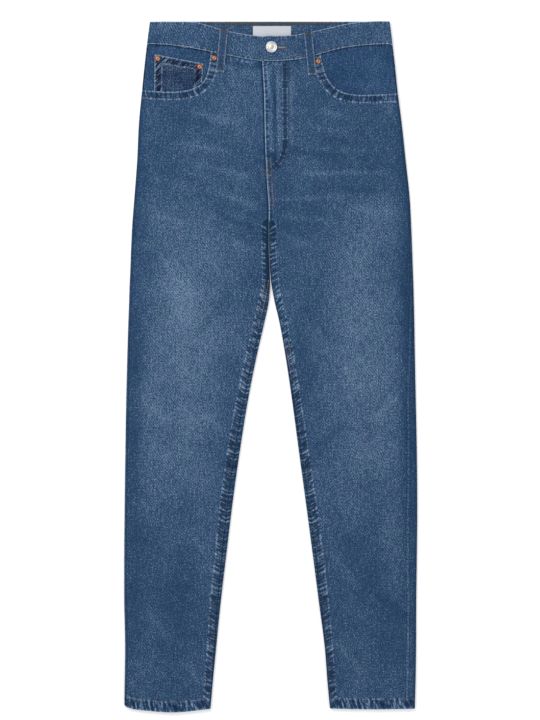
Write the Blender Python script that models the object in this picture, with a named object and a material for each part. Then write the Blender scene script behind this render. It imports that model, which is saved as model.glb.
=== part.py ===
"""Relaxed fit denim jeans, closed and laid flat on their back.

Wearer's sides are used in the names: the right leg lies at -X, the waist at +Y, the front faces +Z.
Places are worked out in millimetres, as x across and down from the top of the back waistband.
"""
import math
from collections import namedtuple

import bmesh
import bpy
import numpy as np

MM = 0.001

# Driving dimensions, mm
LENGTH = 1037.0            # top of the back waistband to the lowest point of the right hem
BACK_BAND_TOP = 0.5        # down
BACK_BAND_LOW = 38.8       # down, where the yoke is sewn on
CROTCH = 306.0             # down
HEM_BAND = 16.0            # depth of the turned hem
DENIM = 1.2                # one layer
HEM_WALL = 2.2             # hem, turned twice
BAND_WALL = 2.2            # waistband, folded over its stiffening
SEAM_GAP = 0.3             # between pieces that are sewn together
WAIST_GAP = 0.5            # between the waistband and what hangs from it

# Heights of the top face above the table, mm
HIP_HEIGHT = 8.0
LEG_HEIGHT = 5.4
HEM_HEIGHT = 6.4
BAND_HEIGHT = 8.5
BACK_LIFT = 1.7            # underside of the back, which lies on its belt loops and pockets
FLY_LIFT = 1.5             # the fly shield raises the left front
FLY_WIDTH = 33.0
FLY_END = 216.0            # down, where the fly's curved stitching closes
FLY_OVERLAP = 8.0          # left front over right front
TAB_LIFT = BAND_WALL + SEAM_GAP
TAB_END = -13.0            # x of the left waistband end, which lies on top
UNDER_END = 22.0           # x of the right waistband end, underneath

# A leg's edges as it lies: x of its two folds, and how far each seam has rolled over the front
LegRow = namedtuple("LegRow", "down outer outseam inner inseam")

RIGHT_ROWS = [
    LegRow(0, -181.3, 2.0, -3.2, 0.2),
    LegRow(60, -188.8, 2.0, -3.2, 0.2),
    LegRow(105, -193.3, 2.0, -3.2, 0.2),
    LegRow(150, -197.7, 2.0, -3.2, 0.2),
    LegRow(210, -200.7, 2.0, -3.2, 0.2),
    LegRow(270, -205.2, 2.0, -3.2, 0.2),
    LegRow(306, -208.0, 2.0, -3.2, 0.2),
    LegRow(345, -209.9, 2.0, -2.8, 0.2),
    LegRow(375, -211.0, 2.0, -1.5, 1.0),
    LegRow(397, -212.0, 2.0, -1.1, 3.0),
    LegRow(420, -212.7, 2.0, -2.8, 6.0),
    LegRow(450, -213.8, 2.0, -9.0, 6.5),
    LegRow(495, -215.2, 2.0, -19.4, 6.5),
    LegRow(570, -217.1, 2.0, -34.3, 8.0),
    LegRow(645, -218.3, 2.0, -46.3, 9.0),
    LegRow(720, -219.3, 2.0, -56.8, 9.0),
    LegRow(810, -220.1, 2.0, -67.7, 7.5),
    LegRow(870, -220.0, 2.0, -74.8, 6.5),
    LegRow(945, -218.7, 2.0, -82.3, 4.0),
    LegRow(990, -219.4, 2.0, -86.7, 3.0),
    LegRow(1032, -219.9, 2.0, -90.4, 2.5),
]

LEFT_ROWS = [
    LegRow(0, 178.4, 2.0, -2.8, 0.2),
    LegRow(60, 185.8, 2.0, -2.8, 0.2),
    LegRow(105, 190.4, 2.0, -2.8, 0.2),
    LegRow(150, 196.2, 2.0, -2.8, 0.2),
    LegRow(210, 202.8, 2.0, -2.8, 0.2),
    LegRow(270, 209.0, 2.0, -2.8, 0.2),
    LegRow(306, 210.9, 2.0, -2.8, 0.2),
    LegRow(345, 212.5, 3.0, -2.3, 0.2),
    LegRow(375, 213.5, 4.0, -0.9, 0.2),
    LegRow(397, 214.3, 5.0, 1.3, 0.4),
    LegRow(420, 214.9, 6.0, 5.6, 0.8),
    LegRow(450, 215.6, 7.5, 12.6, 1.4),
    LegRow(495, 216.4, 9.5, 20.8, 2.5),
    LegRow(570, 217.9, 13.5, 32.1, 4.0),
    LegRow(645, 219.4, 14.0, 42.1, 5.0),
    LegRow(720, 220.1, 15.5, 52.3, 6.0),
    LegRow(810, 219.4, 15.5, 64.2, 6.0),
    LegRow(870, 218.6, 13.5, 71.9, 5.0),
    LegRow(945, 218.3, 14.5, 81.5, 2.5),
    LegRow(990, 217.6, 14.5, 84.9, 2.0),
    LegRow(1032, 216.4, 14.5, 88.9, 2.0),
]

Spot = namedtuple("Spot", "x down")

# Fly edge, which runs on as the centre front seam, and the centre back seam
FLY_EDGE = [Spot(-13.0, 50), Spot(-12.7, 61), Spot(-10.3, 104), Spot(-8.8, 172), Spot(-7.3, 213),
            Spot(-5.2, 250), Spot(-3.3, 275), Spot(-3.0, 306)]
CENTRE_BACK = -3.0

# Lower edge of the front waistband, where the fronts and the pocket facings are sewn on
WAIST_SEAM = [Spot(-188, 34.5), Spot(-155, 36), Spot(-130, 39), Spot(-97, 45), Spot(-60, 52.5),
              Spot(-20, 59.6), Spot(0, 60.6), Spot(25, 59.6), Spot(50, 56.4), Spot(75, 49.5),
              Spot(102, 42.2), Spot(130, 37.6), Spot(160, 35.4), Spot(188, 34.8)]

# Upper edge of the front waistband, right and left of the opening
BAND_TOP_RIGHT = [Spot(-184, 1.4), Spot(-145, 1.2), Spot(-112, 2.4), Spot(-95, 6.5), Spot(-75, 12.9),
                  Spot(-45, 19.0), Spot(-13, 23.4), Spot(25, 25.0)]
BAND_TOP_LEFT = [Spot(-13, 23.0), Spot(38, 21.2), Spot(52, 18.5), Spot(90, 10.0), Spot(122, 3.2),
                 Spot(150, 1.0), Spot(184, 0.6)]

# Hems
HEM_RIGHT = [Spot(-221, 1024), Spot(-218, 1027.5), Spot(-210, 1031), Spot(-190, 1034), Spot(-149, LENGTH),
             Spot(-91, 1032)]
HEM_LEFT = [Spot(80, 1031), Spot(150, 1032.5), Spot(221, 1031.5)]

# Edge of each front pocket opening, from the waist seam round to the side seam
POCKET_RIGHT = [Spot(-88.5, 30), Spot(-90.5, 54.6), Spot(-93.5, 71.9), Spot(-98.5, 87.0), Spot(-105.5, 95.6),
                Spot(-118, 102), Spot(-134, 105.6), Spot(-161, 106.2), Spot(-191, 104), Spot(-230, 100)]
POCKET_LEFT = [Spot(71, 32), Spot(77.9, 65), Spot(84.7, 85.5), Spot(95, 99.3), Spot(108.8, 107.1),
               Spot(126.1, 110.6), Spot(157.1, 110.6), Spot(190.6, 108.9), Spot(230, 105)]

# Lower edge of the yoke: down at the centre back seam and at the side seam
YOKE_CENTRE = 104.0
YOKE_SIDE = 72.0

# Wide soft folds of the fronts: a ridge (+) or trough (-) from one end to the other, with its half width
Fold = namedtuple("Fold", "x0 down0 x1 down1 width height")
FOLDS = [
    Fold(-186, 168, -60, 178, 16, 0.7),
    Fold(-180, 198, -40, 214, 15, -0.7),
    Fold(-120, 236, -12, 264, 16, 0.8),
    Fold(-190, 250, -90, 292, 18, -0.6),
    Fold(40, 226, 185, 231, 15, 0.8),
    Fold(12, 262, 130, 270, 15, -0.8),
    Fold(70, 296, 180, 318, 18, 0.6),
    Fold(-130, 330, -150, 520, 24, 0.8),
    Fold(120, 350, 132, 560, 24, 0.8),
    Fold(-90, 470, -120, 640, 20, -0.7),
    Fold(80, 480, 96, 660, 20, -0.7),
    Fold(-160, 640, -110, 700, 20, 0.8),
    Fold(110, 640, 170, 690, 20, 0.8),
    Fold(-165, 760, -135, 960, 20, 0.7),
    Fold(135, 770, 150, 960, 20, 0.7),
]

# Rows that the panels share, mm down; the first and last stretches bend to meet the waist and the hem
TOP_ZONE = 146.0
HEM_ZONE = 1000.0
BODY_ROWS = (146, 164, 182, 200, 208, 216, 224, 232, 248, 264, 280, 292, 299, 303, 306, 309, 313,
             321, 336, 356, 376, 397, 420, 450, 495, 550, 605, 660, 715, 770, 825, 880, 935, 980)
FRONT_TOP_STEPS = (0.0, 0.12, 0.25, 0.4, 0.55, 0.7, 0.85)
BACK_TOP_STEPS = (0.0, 0.35, 0.7)
HEM_STEPS = (0.0, 0.48, 0.52, 1.0)


def curve_through(pairs):
    """A smooth function through (place, value) pairs, level beyond its ends."""
    places, values = (np.array(column, float) for column in zip(*pairs))
    slopes = np.gradient(values, places)

    def value_at(place):
        place = float(np.clip(place, places[0], places[-1]))
        k = min(int(np.searchsorted(places, place, side="right")) - 1, len(places) - 2)
        span = places[k + 1] - places[k]
        t = (place - places[k]) / span
        start = (1 + 2 * t) * (1 - t) ** 2 * values[k] + t * (1 - t) ** 2 * slopes[k] * span
        end = t * t * (3 - 2 * t) * values[k + 1] - t * t * (1 - t) * slopes[k + 1] * span
        return float(start + end)
    return value_at


def edge_by_x(spots):
    """Down as a smooth function of x."""
    return curve_through([(spot.x, spot.down) for spot in spots])


def mix(a, b, t):
    return a + (b - a) * t


def ramp(value, start, end):
    """0 before start, 1 after end, smooth between them."""
    t = min(max((value - start) / (end - start), 0.0), 1.0)
    return t * t * (3 - 2 * t)


Leg = namedtuple("Leg", "name outward outer outseam inner inseam hem")


def leg_from(name, outward, rows, hem):
    columns = [curve_through([(row.down, getattr(row, column)) for row in rows])
               for column in ("outer", "outseam", "inner", "inseam")]
    return Leg(name, outward, *columns, edge_by_x(hem))


RIGHT = leg_from("right", -1, RIGHT_ROWS, HEM_RIGHT)
LEFT = leg_from("left", 1, LEFT_ROWS, HEM_LEFT)

fly_edge = curve_through([(spot.down, spot.x) for spot in FLY_EDGE])
front_waist = edge_by_x(WAIST_SEAM)
band_top = {"right": edge_by_x(BAND_TOP_RIGHT), "left": edge_by_x(BAND_TOP_LEFT)}


def body_height(down):
    """Height of the front's top face before any folds."""
    hip = mix(HIP_HEIGHT, LEG_HEIGHT, ramp(down, 120, 240))
    return mix(hip, HEM_HEIGHT, ramp(down, 960, 1012))


def wall_at(down, hem_down):
    """Thickness of the cloth: the hem is turned up inside."""
    return mix(DENIM, HEM_WALL, ramp(down, hem_down - HEM_BAND - 1, hem_down - HEM_BAND))


def fold_relief(x, down):
    """Sum of the wide folds at a place on the fronts."""
    total = 0.0
    for fold in FOLDS:
        along = np.array((fold.x1 - fold.x0, fold.down1 - fold.down0), float)
        length = float(np.hypot(*along))
        along /= length
        offset = np.array((x - fold.x0, down - fold.down0), float)
        run = float(offset @ along) / length
        side = float(offset[0] * along[1] - offset[1] * along[0]) / fold.width
        total += fold.height * math.exp(-side * side) * ramp(run, -0.15, 0.25) * (1 - ramp(run, 0.75, 1.15))
    return total


def front_rise(leg, x, down):
    """What folds and the fly add to the height of the front."""
    from_edges = min(abs(x - leg.outer(down)), abs(x - inner_edge(leg, down, "front")))
    rise = fold_relief(x, down) * ramp(from_edges, 5, 30) * ramp(down, 130, 170)
    if leg is LEFT:
        over_fly = 1 - ramp(x - fly_edge(down), FLY_WIDTH, FLY_WIDTH + 14)
        rise += FLY_LIFT * over_fly * (1 - ramp(down, FLY_END, FLY_END + 16))
    return rise


# Back pockets, mm: top edge down from the waist, widths, and heights to the corners and to the point
POCKET_TOP = 130.0
POCKET_WIDTH = 150.0
POCKET_BASE_WIDTH = 136.0
POCKET_SIDE = 128.0
POCKET_POINT = 150.0
POCKET_X = 108.0           # middle of the pocket from the centre back seam


def seat_rise(down):
    """Underside of the seat above the table: it lies on its belt loops and back pockets."""
    end = POCKET_TOP + POCKET_POINT
    return BACK_LIFT * (1 - ramp(down, end + 8, end + 45))


def inner_edge(leg, down, layer):
    """x of a leg's inner fold or, above the crotch, of the centre seam."""
    if down >= CROTCH:
        return leg.inner(down)
    if layer == "back":
        return CENTRE_BACK + leg.outward * SEAM_GAP / 2
    overlap = FLY_OVERLAP * (1 - ramp(down, FLY_END - 12, FLY_END - 2)) if leg is RIGHT else 0.0
    return fly_edge(down) + leg.outward * SEAM_GAP / 2 + overlap


def cloth_point(leg, edge, along, down, depth, layer):
    """A point of a leg, `along` the cloth from its outer or inner fold, `depth` into the wall.

    Positive runs over the front and negative under the back.
    """
    inward = -leg.outward if edge == "outer" else leg.outward
    edge_x = leg.outer(down) if edge == "outer" else inner_edge(leg, down, layer)
    roll = 1.0 if edge == "outer" else ramp(down, CROTCH - 8, CROTCH + 8)
    radius = body_height(down) / 2
    reach = abs(along)
    angle = min(reach / radius, math.pi / 2)
    past_fold = max(reach - radius * math.pi / 2, 0.0)
    normal_in = roll * math.cos(angle)
    normal_up = math.sqrt(1 - normal_in * normal_in)
    across = mix(reach, radius * (1 - math.cos(angle)) + past_fold, roll) + depth * normal_in
    x = edge_x + inward * across
    up = mix(radius, radius * math.sin(angle), roll) - depth * normal_up
    if along >= 0 and layer == "front" or along > 0:
        return x, radius + up + front_rise(leg, x, down) * normal_up ** 2
    return x, radius - up + seat_rise(down) * normal_up ** 2


FLAT_ALONG = 20.0          # well past the fold, on the flat of the cloth


def waist_down(along, x):
    """Where the waistband ends, from the front's curve to the level back over the side fold."""
    turn = min(max(0.5 - along / 12, 0.0), 1.0)
    return mix(front_waist(x), BACK_BAND_LOW, turn)


def yoke_down(x):
    share = min(abs(x - CENTRE_BACK) / 190, 1.0)
    return mix(YOKE_CENTRE, YOKE_SIDE, share)


INNER_FLAT_STEPS = (0.0, 11.0, 22.0, FLY_WIDTH, FLY_WIDTH + 14)
INNER_FOLD_STEPS = (0.0, 1.5, 3.0, 5.0, 14.0)
OUTER_STEPS = (0.0, 1.6, 3.4, 12.0)
FRONT_MIDDLES = 5
BACK_OUTER_COUNT = 7
BACK_INNER_COUNT = 6
BACK_MIDDLES = 5
UNDER_REACH = -7.0         # where the fold has become the flat underside


def front_columns(down):
    """(edge, along, share) of each column of a front: from the inner seam to the side seam."""
    roll = ramp(down, CROTCH - 8, CROTCH + 8)
    steps = [mix(flat, fold, roll) for flat, fold in zip(INNER_FLAT_STEPS, INNER_FOLD_STEPS)]
    columns = [("inner", step, None) for step in steps]
    columns += [("middle", None, (k + 1) / (FRONT_MIDDLES + 1)) for k in range(FRONT_MIDDLES)]
    return columns + [("outer", step, None) for step in reversed(OUTER_STEPS)]


def back_columns():
    """The same for a back, which wraps round both folds."""
    columns = [("inner", k / (BACK_INNER_COUNT - 1), None) for k in range(BACK_INNER_COUNT)]
    columns += [("middle", None, (k + 1) / (BACK_MIDDLES + 1)) for k in range(BACK_MIDDLES)]
    return columns + [("outer", 1 - k / (BACK_OUTER_COUNT - 1), None) for k in range(BACK_OUTER_COUNT)]


def panel_point(leg, layer, column, down, depth):
    """One point of a front or back panel."""
    edge, along, share = column
    if edge == "middle":
        last_inner = front_columns(down)[len(INNER_FOLD_STEPS) - 1] if layer == "front" else ("inner", 1.0, None)
        first_outer = ("outer", OUTER_STEPS[-1], None) if layer == "front" else ("outer", 1.0, None)
        x = mix(panel_point(leg, layer, last_inner, down, 0)[0],
                panel_point(leg, layer, first_outer, down, 0)[0], share)
        if layer == "front":
            return x, body_height(down) + front_rise(leg, x, down) - depth
        return x, seat_rise(down) + depth
    seam = leg.inseam(down) if edge == "inner" else leg.outseam(down)
    if layer == "front":
        place = seam + along + SEAM_GAP / 2
    else:
        place = mix(seam - SEAM_GAP / 2, UNDER_REACH, along)
    if edge == "inner" and down < CROTCH:
        place = along if layer == "front" else mix(0, UNDER_REACH, along)
    return cloth_point(leg, edge, place, down, depth, layer)


def along_of(leg, layer, column, down):
    """Distance over the cloth from the side fold, for the line of the waist seam."""
    edge, along, _ = column
    if edge != "outer":
        return FLAT_ALONG if layer == "front" else -FLAT_ALONG
    if layer == "front":
        return leg.outseam(down) + along
    return mix(leg.outseam(down), UNDER_REACH, along)


def panel_rows(leg, layer, column):
    """The distances down of one column's points."""
    down = TOP_ZONE / 2
    for _ in range(3):
        x, _ = panel_point(leg, layer, column, down, 0)
        if layer == "front":
            down = waist_down(along_of(leg, layer, column, down), x) + WAIST_GAP / 2
        else:
            down = yoke_down(x) + SEAM_GAP / 2
    steps = FRONT_TOP_STEPS if layer == "front" else BACK_TOP_STEPS
    rows = [mix(down, TOP_ZONE, step) for step in steps] + list(BODY_ROWS)
    x, _ = panel_point(leg, layer, column, LENGTH - HEM_BAND, 0)
    return rows + [mix(HEM_ZONE, leg.hem(x), step) for step in HEM_STEPS]


def place(x, down, z):
    """Table coordinates in metres."""
    middle = (BACK_BAND_TOP + LENGTH) / 2
    return x * MM, (middle - down) * MM, z * MM


def named_material(name, colour, roughness, metallic=0.0):
    material = bpy.data.materials.get(name) or bpy.data.materials.new(name)
    material.use_nodes = True
    shader = material.node_tree.nodes["Principled BSDF"]
    shader.inputs["Base Color"].default_value = (*colour, 1)
    shader.inputs["Roughness"].default_value = roughness
    shader.inputs["Metallic"].default_value = metallic
    material.diffuse_color = (*colour, 1)
    return material


DENIM_BLUE = named_material("denim", (0.045, 0.10, 0.19), 0.85)
DENIM_DARK = named_material("denim inside", (0.03, 0.06, 0.12), 0.85)
TWILL_TAPE = named_material("woven tape", (0.05, 0.09, 0.16), 0.8)
LABEL_WHITE = named_material("satin label", (0.52, 0.56, 0.6), 0.5)
NICKEL = named_material("nickel plated brass", (0.68, 0.7, 0.74), 0.3, 1.0)
COPPER = named_material("copper", (0.55, 0.24, 0.13), 0.35, 1.0)


def add_object(name, mesh_data, material):
    mesh_data.materials.append(material)
    item = bpy.data.objects.new(name, mesh_data)
    bpy.context.scene.collection.objects.link(item)
    return item


def wall_between(name, outer, inner, material):
    """Close a wall of cloth between two equal grids of points, one for each face."""
    mesh = bmesh.new()
    faces = [[[mesh.verts.new(place(*point)) for point in row] for row in grid] for grid in (outer, inner)]
    front, back = faces
    rows, columns = len(outer), len(outer[0])
    for r in range(rows - 1):
        for c in range(columns - 1):
            mesh.faces.new((front[r][c], front[r][c + 1], front[r + 1][c + 1], front[r + 1][c]))
            mesh.faces.new((back[r][c], back[r + 1][c], back[r + 1][c + 1], back[r][c + 1]))
    rim = [(r, 0) for r in range(rows)] + [(rows - 1, c) for c in range(1, columns)]
    rim += [(r, columns - 1) for r in range(rows - 2, -1, -1)] + [(0, c) for c in range(columns - 2, 0, -1)]
    for (r0, c0), (r1, c1) in zip(rim, rim[1:] + rim[:1]):
        mesh.faces.new((front[r0][c0], front[r1][c1], back[r1][c1], back[r0][c0]))
    bmesh.ops.recalc_face_normals(mesh, faces=mesh.faces)
    data = bpy.data.meshes.new(name)
    mesh.to_mesh(data)
    mesh.free()
    data.shade_smooth()
    data.set_sharp_from_angle(angle=math.radians(50))
    return add_object(name, data, material)


def prism(name, outline, low, high, material):
    """An upright solid over an outline of (x, down) corners, between two heights."""
    mesh = bmesh.new()
    base = mesh.faces.new([mesh.verts.new(place(x, down, low)) for x, down in outline])
    top = bmesh.ops.extrude_face_region(mesh, geom=[base])["geom"]
    corners = [item for item in top if isinstance(item, bmesh.types.BMVert)]
    bmesh.ops.translate(mesh, verts=corners, vec=(0, 0, (high - low) * MM))
    bmesh.ops.recalc_face_normals(mesh, faces=mesh.faces)
    data = bpy.data.meshes.new(name)
    mesh.to_mesh(data)
    mesh.free()
    return add_object(name, data, material)


def turned(name, profile, centre, base, sides, material):
    """A solid of revolution from (radius, height) pairs, first and last on the axis."""
    mesh = bmesh.new()
    rings = []
    for radius, height in profile:
        if radius == 0:
            rings.append([mesh.verts.new(place(centre.x, centre.down, base + height))])
            continue
        angles = [2 * math.pi * k / sides for k in range(sides)]
        rings.append([mesh.verts.new(place(centre.x + radius * math.cos(a), centre.down + radius * math.sin(a),
                                           base + height)) for a in angles])
    for lower, upper in zip(rings, rings[1:]):
        for k in range(sides):
            loop = [lower[k % len(lower)], lower[(k + 1) % len(lower)],
                    upper[(k + 1) % len(upper)], upper[k % len(upper)]]
            mesh.faces.new(list(dict.fromkeys(loop)))
    bmesh.ops.recalc_face_normals(mesh, faces=mesh.faces)
    data = bpy.data.meshes.new(name)
    mesh.to_mesh(data)
    mesh.free()
    data.shade_smooth()
    data.set_sharp_from_angle(angle=math.radians(40))
    return add_object(name, data, material)


def cut(item, cutter):
    """Cut one object out of another."""
    cutter.hide_render = True
    cutter.display_type = "WIRE"
    modifier = item.modifiers.new("cut by " + cutter.name, "BOOLEAN")
    modifier.operation = "DIFFERENCE"
    modifier.object = cutter
    modifier.solver = "EXACT"


def rounded_path(spots, per_span=3):
    """Points of a smooth path through a list of spots."""
    steps = [math.hypot(b.x - a.x, b.down - a.down) for a, b in zip(spots, spots[1:])]
    stations = [0.0] + list(np.cumsum(steps))
    x_at = curve_through(list(zip(stations, [spot.x for spot in spots])))
    down_at = curve_through(list(zip(stations, [spot.down for spot in spots])))
    count = per_span * (len(spots) - 1)
    return [(x_at(stations[-1] * k / count), down_at(stations[-1] * k / count)) for k in range(count + 1)]


def make_panel(leg, layer):
    """A leg panel: the front lies on top, the back wraps round from below."""
    if layer == "front":
        columns = range(len(front_columns(0)))
        column_at = lambda k, down: front_columns(down)[k]
    else:
        columns = range(len(back_columns()))
        column_at = lambda k, down: back_columns()[k]
    tracks = [panel_rows(leg, layer, column_at(k, 0)) for k in columns]
    outer, inner = [], []
    for r in range(len(tracks[0])):
        outer_row, inner_row = [], []
        for k in columns:
            down = tracks[k][r]
            column = column_at(k, down)
            wall = wall_at(down, tracks[k][-1])
            for row, depth in ((outer_row, 0), (inner_row, wall)):
                x, z = panel_point(leg, layer, column, down, depth)
                row.append((x, down, z))
        outer.append(outer_row)
        inner.append(inner_row)
    return wall_between(layer + "_" + leg.name, outer, inner, DENIM_BLUE)


def make_yoke(leg):
    """The yoke: the back's columns from the waistband down to the yoke seam."""
    outer, inner = [], []
    for share in (0.0, 0.33, 0.67, 1.0):
        outer_row, inner_row = [], []
        for column in back_columns():
            down = TOP_ZONE / 2
            for _ in range(3):
                x, _ = panel_point(leg, "back", column, down, 0)
                top = waist_down(along_of(leg, "back", column, down), x) + WAIST_GAP
                down = mix(top, yoke_down(x) - SEAM_GAP / 2, share)
            for row, depth in ((outer_row, 0), (inner_row, DENIM)):
                x, z = panel_point(leg, "back", column, down, depth)
                row.append((x, down, z))
        outer.append(outer_row)
        inner.append(inner_row)
    return wall_between("yoke_" + leg.name, outer, inner, DENIM_BLUE)


# The waistband is followed from its right end, under the button, round the back to the left end on top
BandStep = namedtuple("BandStep", "side part place corner")
BAND_FRONT_X = (168, 152, 138, 124, 112, 100, 88, 76, 64, 52, 40, 28, 14)
BAND_BACK_X = (-168, -120, -72, -24, 24, 72, 120, 168)
BAND_TURNS = (5.6, 3.8, 1.9, 0.0, -1.9, -3.8, -5.6)
TAB_CORNER = ((7.0, 0.0), (3.0, 0.9), (1.0, 2.6), (0.0, 5.2))   # from the end, cut from each edge
BAND_ROWS = (0.0, 0.3, 0.7, 1.0)


def band_steps():
    steps = [BandStep(RIGHT, "front", UNDER_END - inset, cut_back) for inset, cut_back in reversed(TAB_CORNER)]
    steps += [BandStep(RIGHT, "front", -x, 0.0) for x in (0,) + tuple(reversed(BAND_FRONT_X))]
    steps += [BandStep(RIGHT, "fold", along, 0.0) for along in BAND_TURNS]
    steps += [BandStep(RIGHT if x < 0 else LEFT, "back", x, 0.0) for x in BAND_BACK_X]
    steps += [BandStep(LEFT, "fold", along, 0.0) for along in reversed(BAND_TURNS)]
    steps += [BandStep(LEFT, "front", x, 0.0) for x in BAND_FRONT_X + (4,)]
    return steps + [BandStep(LEFT, "front", TAB_END + inset, cut_back) for inset, cut_back in TAB_CORNER]


def band_point(step, share, depth):
    """A point of the waistband at a share of its width from the upper edge."""
    radius = (BAND_HEIGHT - BACK_LIFT) / 2
    if step.part == "fold":
        down = 20.0
        for _ in range(2):
            edge = step.side.outer(down)
            turn = min(max(0.5 - step.place / 12, 0.0), 1.0)
            top = mix(band_top[step.side.name](edge), BACK_BAND_TOP, turn)
            down = mix(top, waist_down(step.place, edge) - WAIST_GAP / 2, share)
        angle = step.place / radius
        clamped = min(max(angle, -math.pi / 2), math.pi / 2)
        past = max(abs(step.place) - radius * math.pi / 2, 0.0)
        across = radius - (radius - depth) * math.cos(clamped) + past
        z = BACK_LIFT + radius + (radius - depth) * math.sin(clamped)
        return step.side.outer(down) - step.side.outward * across, down, z
    x = step.place
    if step.part == "back":
        down = mix(BACK_BAND_TOP, BACK_BAND_LOW - WAIST_GAP / 2, share)
        return x, down, BACK_LIFT + depth
    down = mix(band_top[step.side.name](x) + step.corner, front_waist(x) - WAIST_GAP / 2 - step.corner, share)
    lift = TAB_LIFT * (1 - ramp(x, UNDER_END + 3, UNDER_END + 30)) if step.side is LEFT else 0.0
    return x, down, BAND_HEIGHT + lift - depth


def make_waistband():
    grids = [[[band_point(step, share, depth) for step in band_steps()] for share in BAND_ROWS]
             for depth in (0.0, BAND_WALL)]
    return wall_between("waistband", grids[0], grids[1], DENIM_BLUE)


# Pocket facings lie under the fronts and show in the pocket openings
FACING_WALL = 1.0
FACING_LOW = 152.0         # down, hidden end
FACING_REACH = 26.0        # past the inner end of the opening
FACING_SHARES = (0.0, 0.14, 0.28, 0.42, 0.56, 0.7, 0.85, 1.0)
COIN_WALL = 1.0


def facing_depth(leg, from_side):
    """How far the facing lies under the front's top face; the right one leaves room for the coin pocket."""
    depth = DENIM + SEAM_GAP
    if leg is RIGHT:
        depth += (COIN_WALL + SEAM_GAP) * ramp(from_side, 6, 15)
    return depth


FACING_FOLD_STEPS = (0.0, 1.2, 2.6, 5.0, 10.0, 16.0)
FACING_FLAT_COUNT = 9


def facing_point(leg, inner_x, step, down, depth):
    """A point of a facing: near the side seam it follows the fold, then it lies flat."""
    if step < len(FACING_FOLD_STEPS):
        along = leg.outseam(down) + SEAM_GAP / 2 + FACING_FOLD_STEPS[step]
        return cloth_point(leg, "outer", along, down, depth, "front")
    start = facing_point(leg, inner_x, len(FACING_FOLD_STEPS) - 1, down, 0)[0]
    x = mix(start, inner_x, (step + 1 - len(FACING_FOLD_STEPS)) / FACING_FLAT_COUNT)
    return x, body_height(down) + front_rise(leg, x, down) - depth


def make_facing(leg, opening):
    inner_x = opening[0].x - leg.outward * FACING_REACH
    outer, inner = [], []
    for share in FACING_SHARES:
        outer_row, inner_row = [], []
        for step in range(len(FACING_FOLD_STEPS) + FACING_FLAT_COUNT):
            folded = step < len(FACING_FOLD_STEPS)
            down = TOP_ZONE / 2
            for _ in range(3):
                x, _ = facing_point(leg, inner_x, step, down, 0)
                along = leg.outseam(down) + FACING_FOLD_STEPS[step] if folded else FLAT_ALONG
                down = mix(waist_down(along, x) + WAIST_GAP, FACING_LOW, share)
            lie = facing_depth(leg, abs(x - leg.outer(down)))
            for row, depth in ((outer_row, lie), (inner_row, lie + FACING_WALL)):
                x, z = facing_point(leg, inner_x, step, down, depth)
                row.append((x, down, z))
        outer.append(outer_row)
        inner.append(inner_row)
    return wall_between("pocket_facing_" + leg.name, outer, inner, DENIM_BLUE)


# Coin pocket on the right facing: its four corners
COIN_TOP = (Spot(-174, 50), Spot(-101, 64))
COIN_LOW = (Spot(-175, 132), Spot(-107, 136))


def make_coin_pocket():
    outer, inner = [], []
    lie = DENIM + SEAM_GAP
    for share in (0.0, 0.25, 0.5, 0.75, 1.0):
        ends = [Spot(mix(top.x, low.x, share), mix(top.down, low.down, share))
                for top, low in zip(COIN_TOP, COIN_LOW)]
        outer_row, inner_row = [], []
        for across in (0.0, 0.2, 0.4, 0.6, 0.8, 1.0):
            x = mix(ends[0].x, ends[1].x, across)
            down = mix(ends[0].down, ends[1].down, across)
            top = body_height(down) + front_rise(RIGHT, x, down) - lie
            outer_row.append((x, down, top))
            inner_row.append((x, down, top - COIN_WALL))
        outer.append(outer_row)
        inner.append(inner_row)
    return wall_between("coin_pocket", outer, inner, DENIM_BLUE)


def make_back_pocket(leg):
    middle = CENTRE_BACK + leg.outward * POCKET_X
    half, low_half = POCKET_WIDTH / 2, POCKET_BASE_WIDTH / 2
    outline = [(middle - half, POCKET_TOP), (middle + half, POCKET_TOP),
               (middle + low_half, POCKET_TOP + POCKET_SIDE - 6), (middle + low_half - 5, POCKET_TOP + POCKET_SIDE),
               (middle, POCKET_TOP + POCKET_POINT),
               (middle - low_half + 5, POCKET_TOP + POCKET_SIDE), (middle - low_half, POCKET_TOP + POCKET_SIDE - 6)]
    return prism("back_pocket_" + leg.name, outline, 0.0, DENIM, DENIM_BLUE)


# Belt loops: a flat strap, tacked at both ends
LOOP_WIDTH = 12.0
LOOP_WALL = 1.5
LOOP_ARCH = 1.6
Loop = namedtuple("Loop", "name top low")
FRONT_LOOPS = (Loop("belt_loop_front_right", Spot(-70.1, 14.6), Spot(-76.1, 76.0)),
               Loop("belt_loop_front_left", Spot(55.9, 17.8), Spot(62.3, 80.3)))
BACK_LOOPS = (Loop("belt_loop_back_right", Spot(-118, 1.5), Spot(-118, 62)),
              Loop("belt_loop_back_left", Spot(116, 1.5), Spot(116, 62)),
              Loop("belt_loop_back_centre", Spot(CENTRE_BACK, 1.5), Spot(CENTRE_BACK, 62)))


def loop_height(x, down):
    """Height of the front under a loop, with the step at the waist seam."""
    leg = RIGHT if x < 0 else LEFT
    panel = body_height(down) + front_rise(leg, x, down)
    tab = TAB_LIFT * (1 - ramp(x, UNDER_END + 3, UNDER_END + 30)) if leg is LEFT else 0.0
    return mix(BAND_HEIGHT + tab, panel, ramp(down, front_waist(x) + 2, front_waist(x) + 8))


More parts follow.
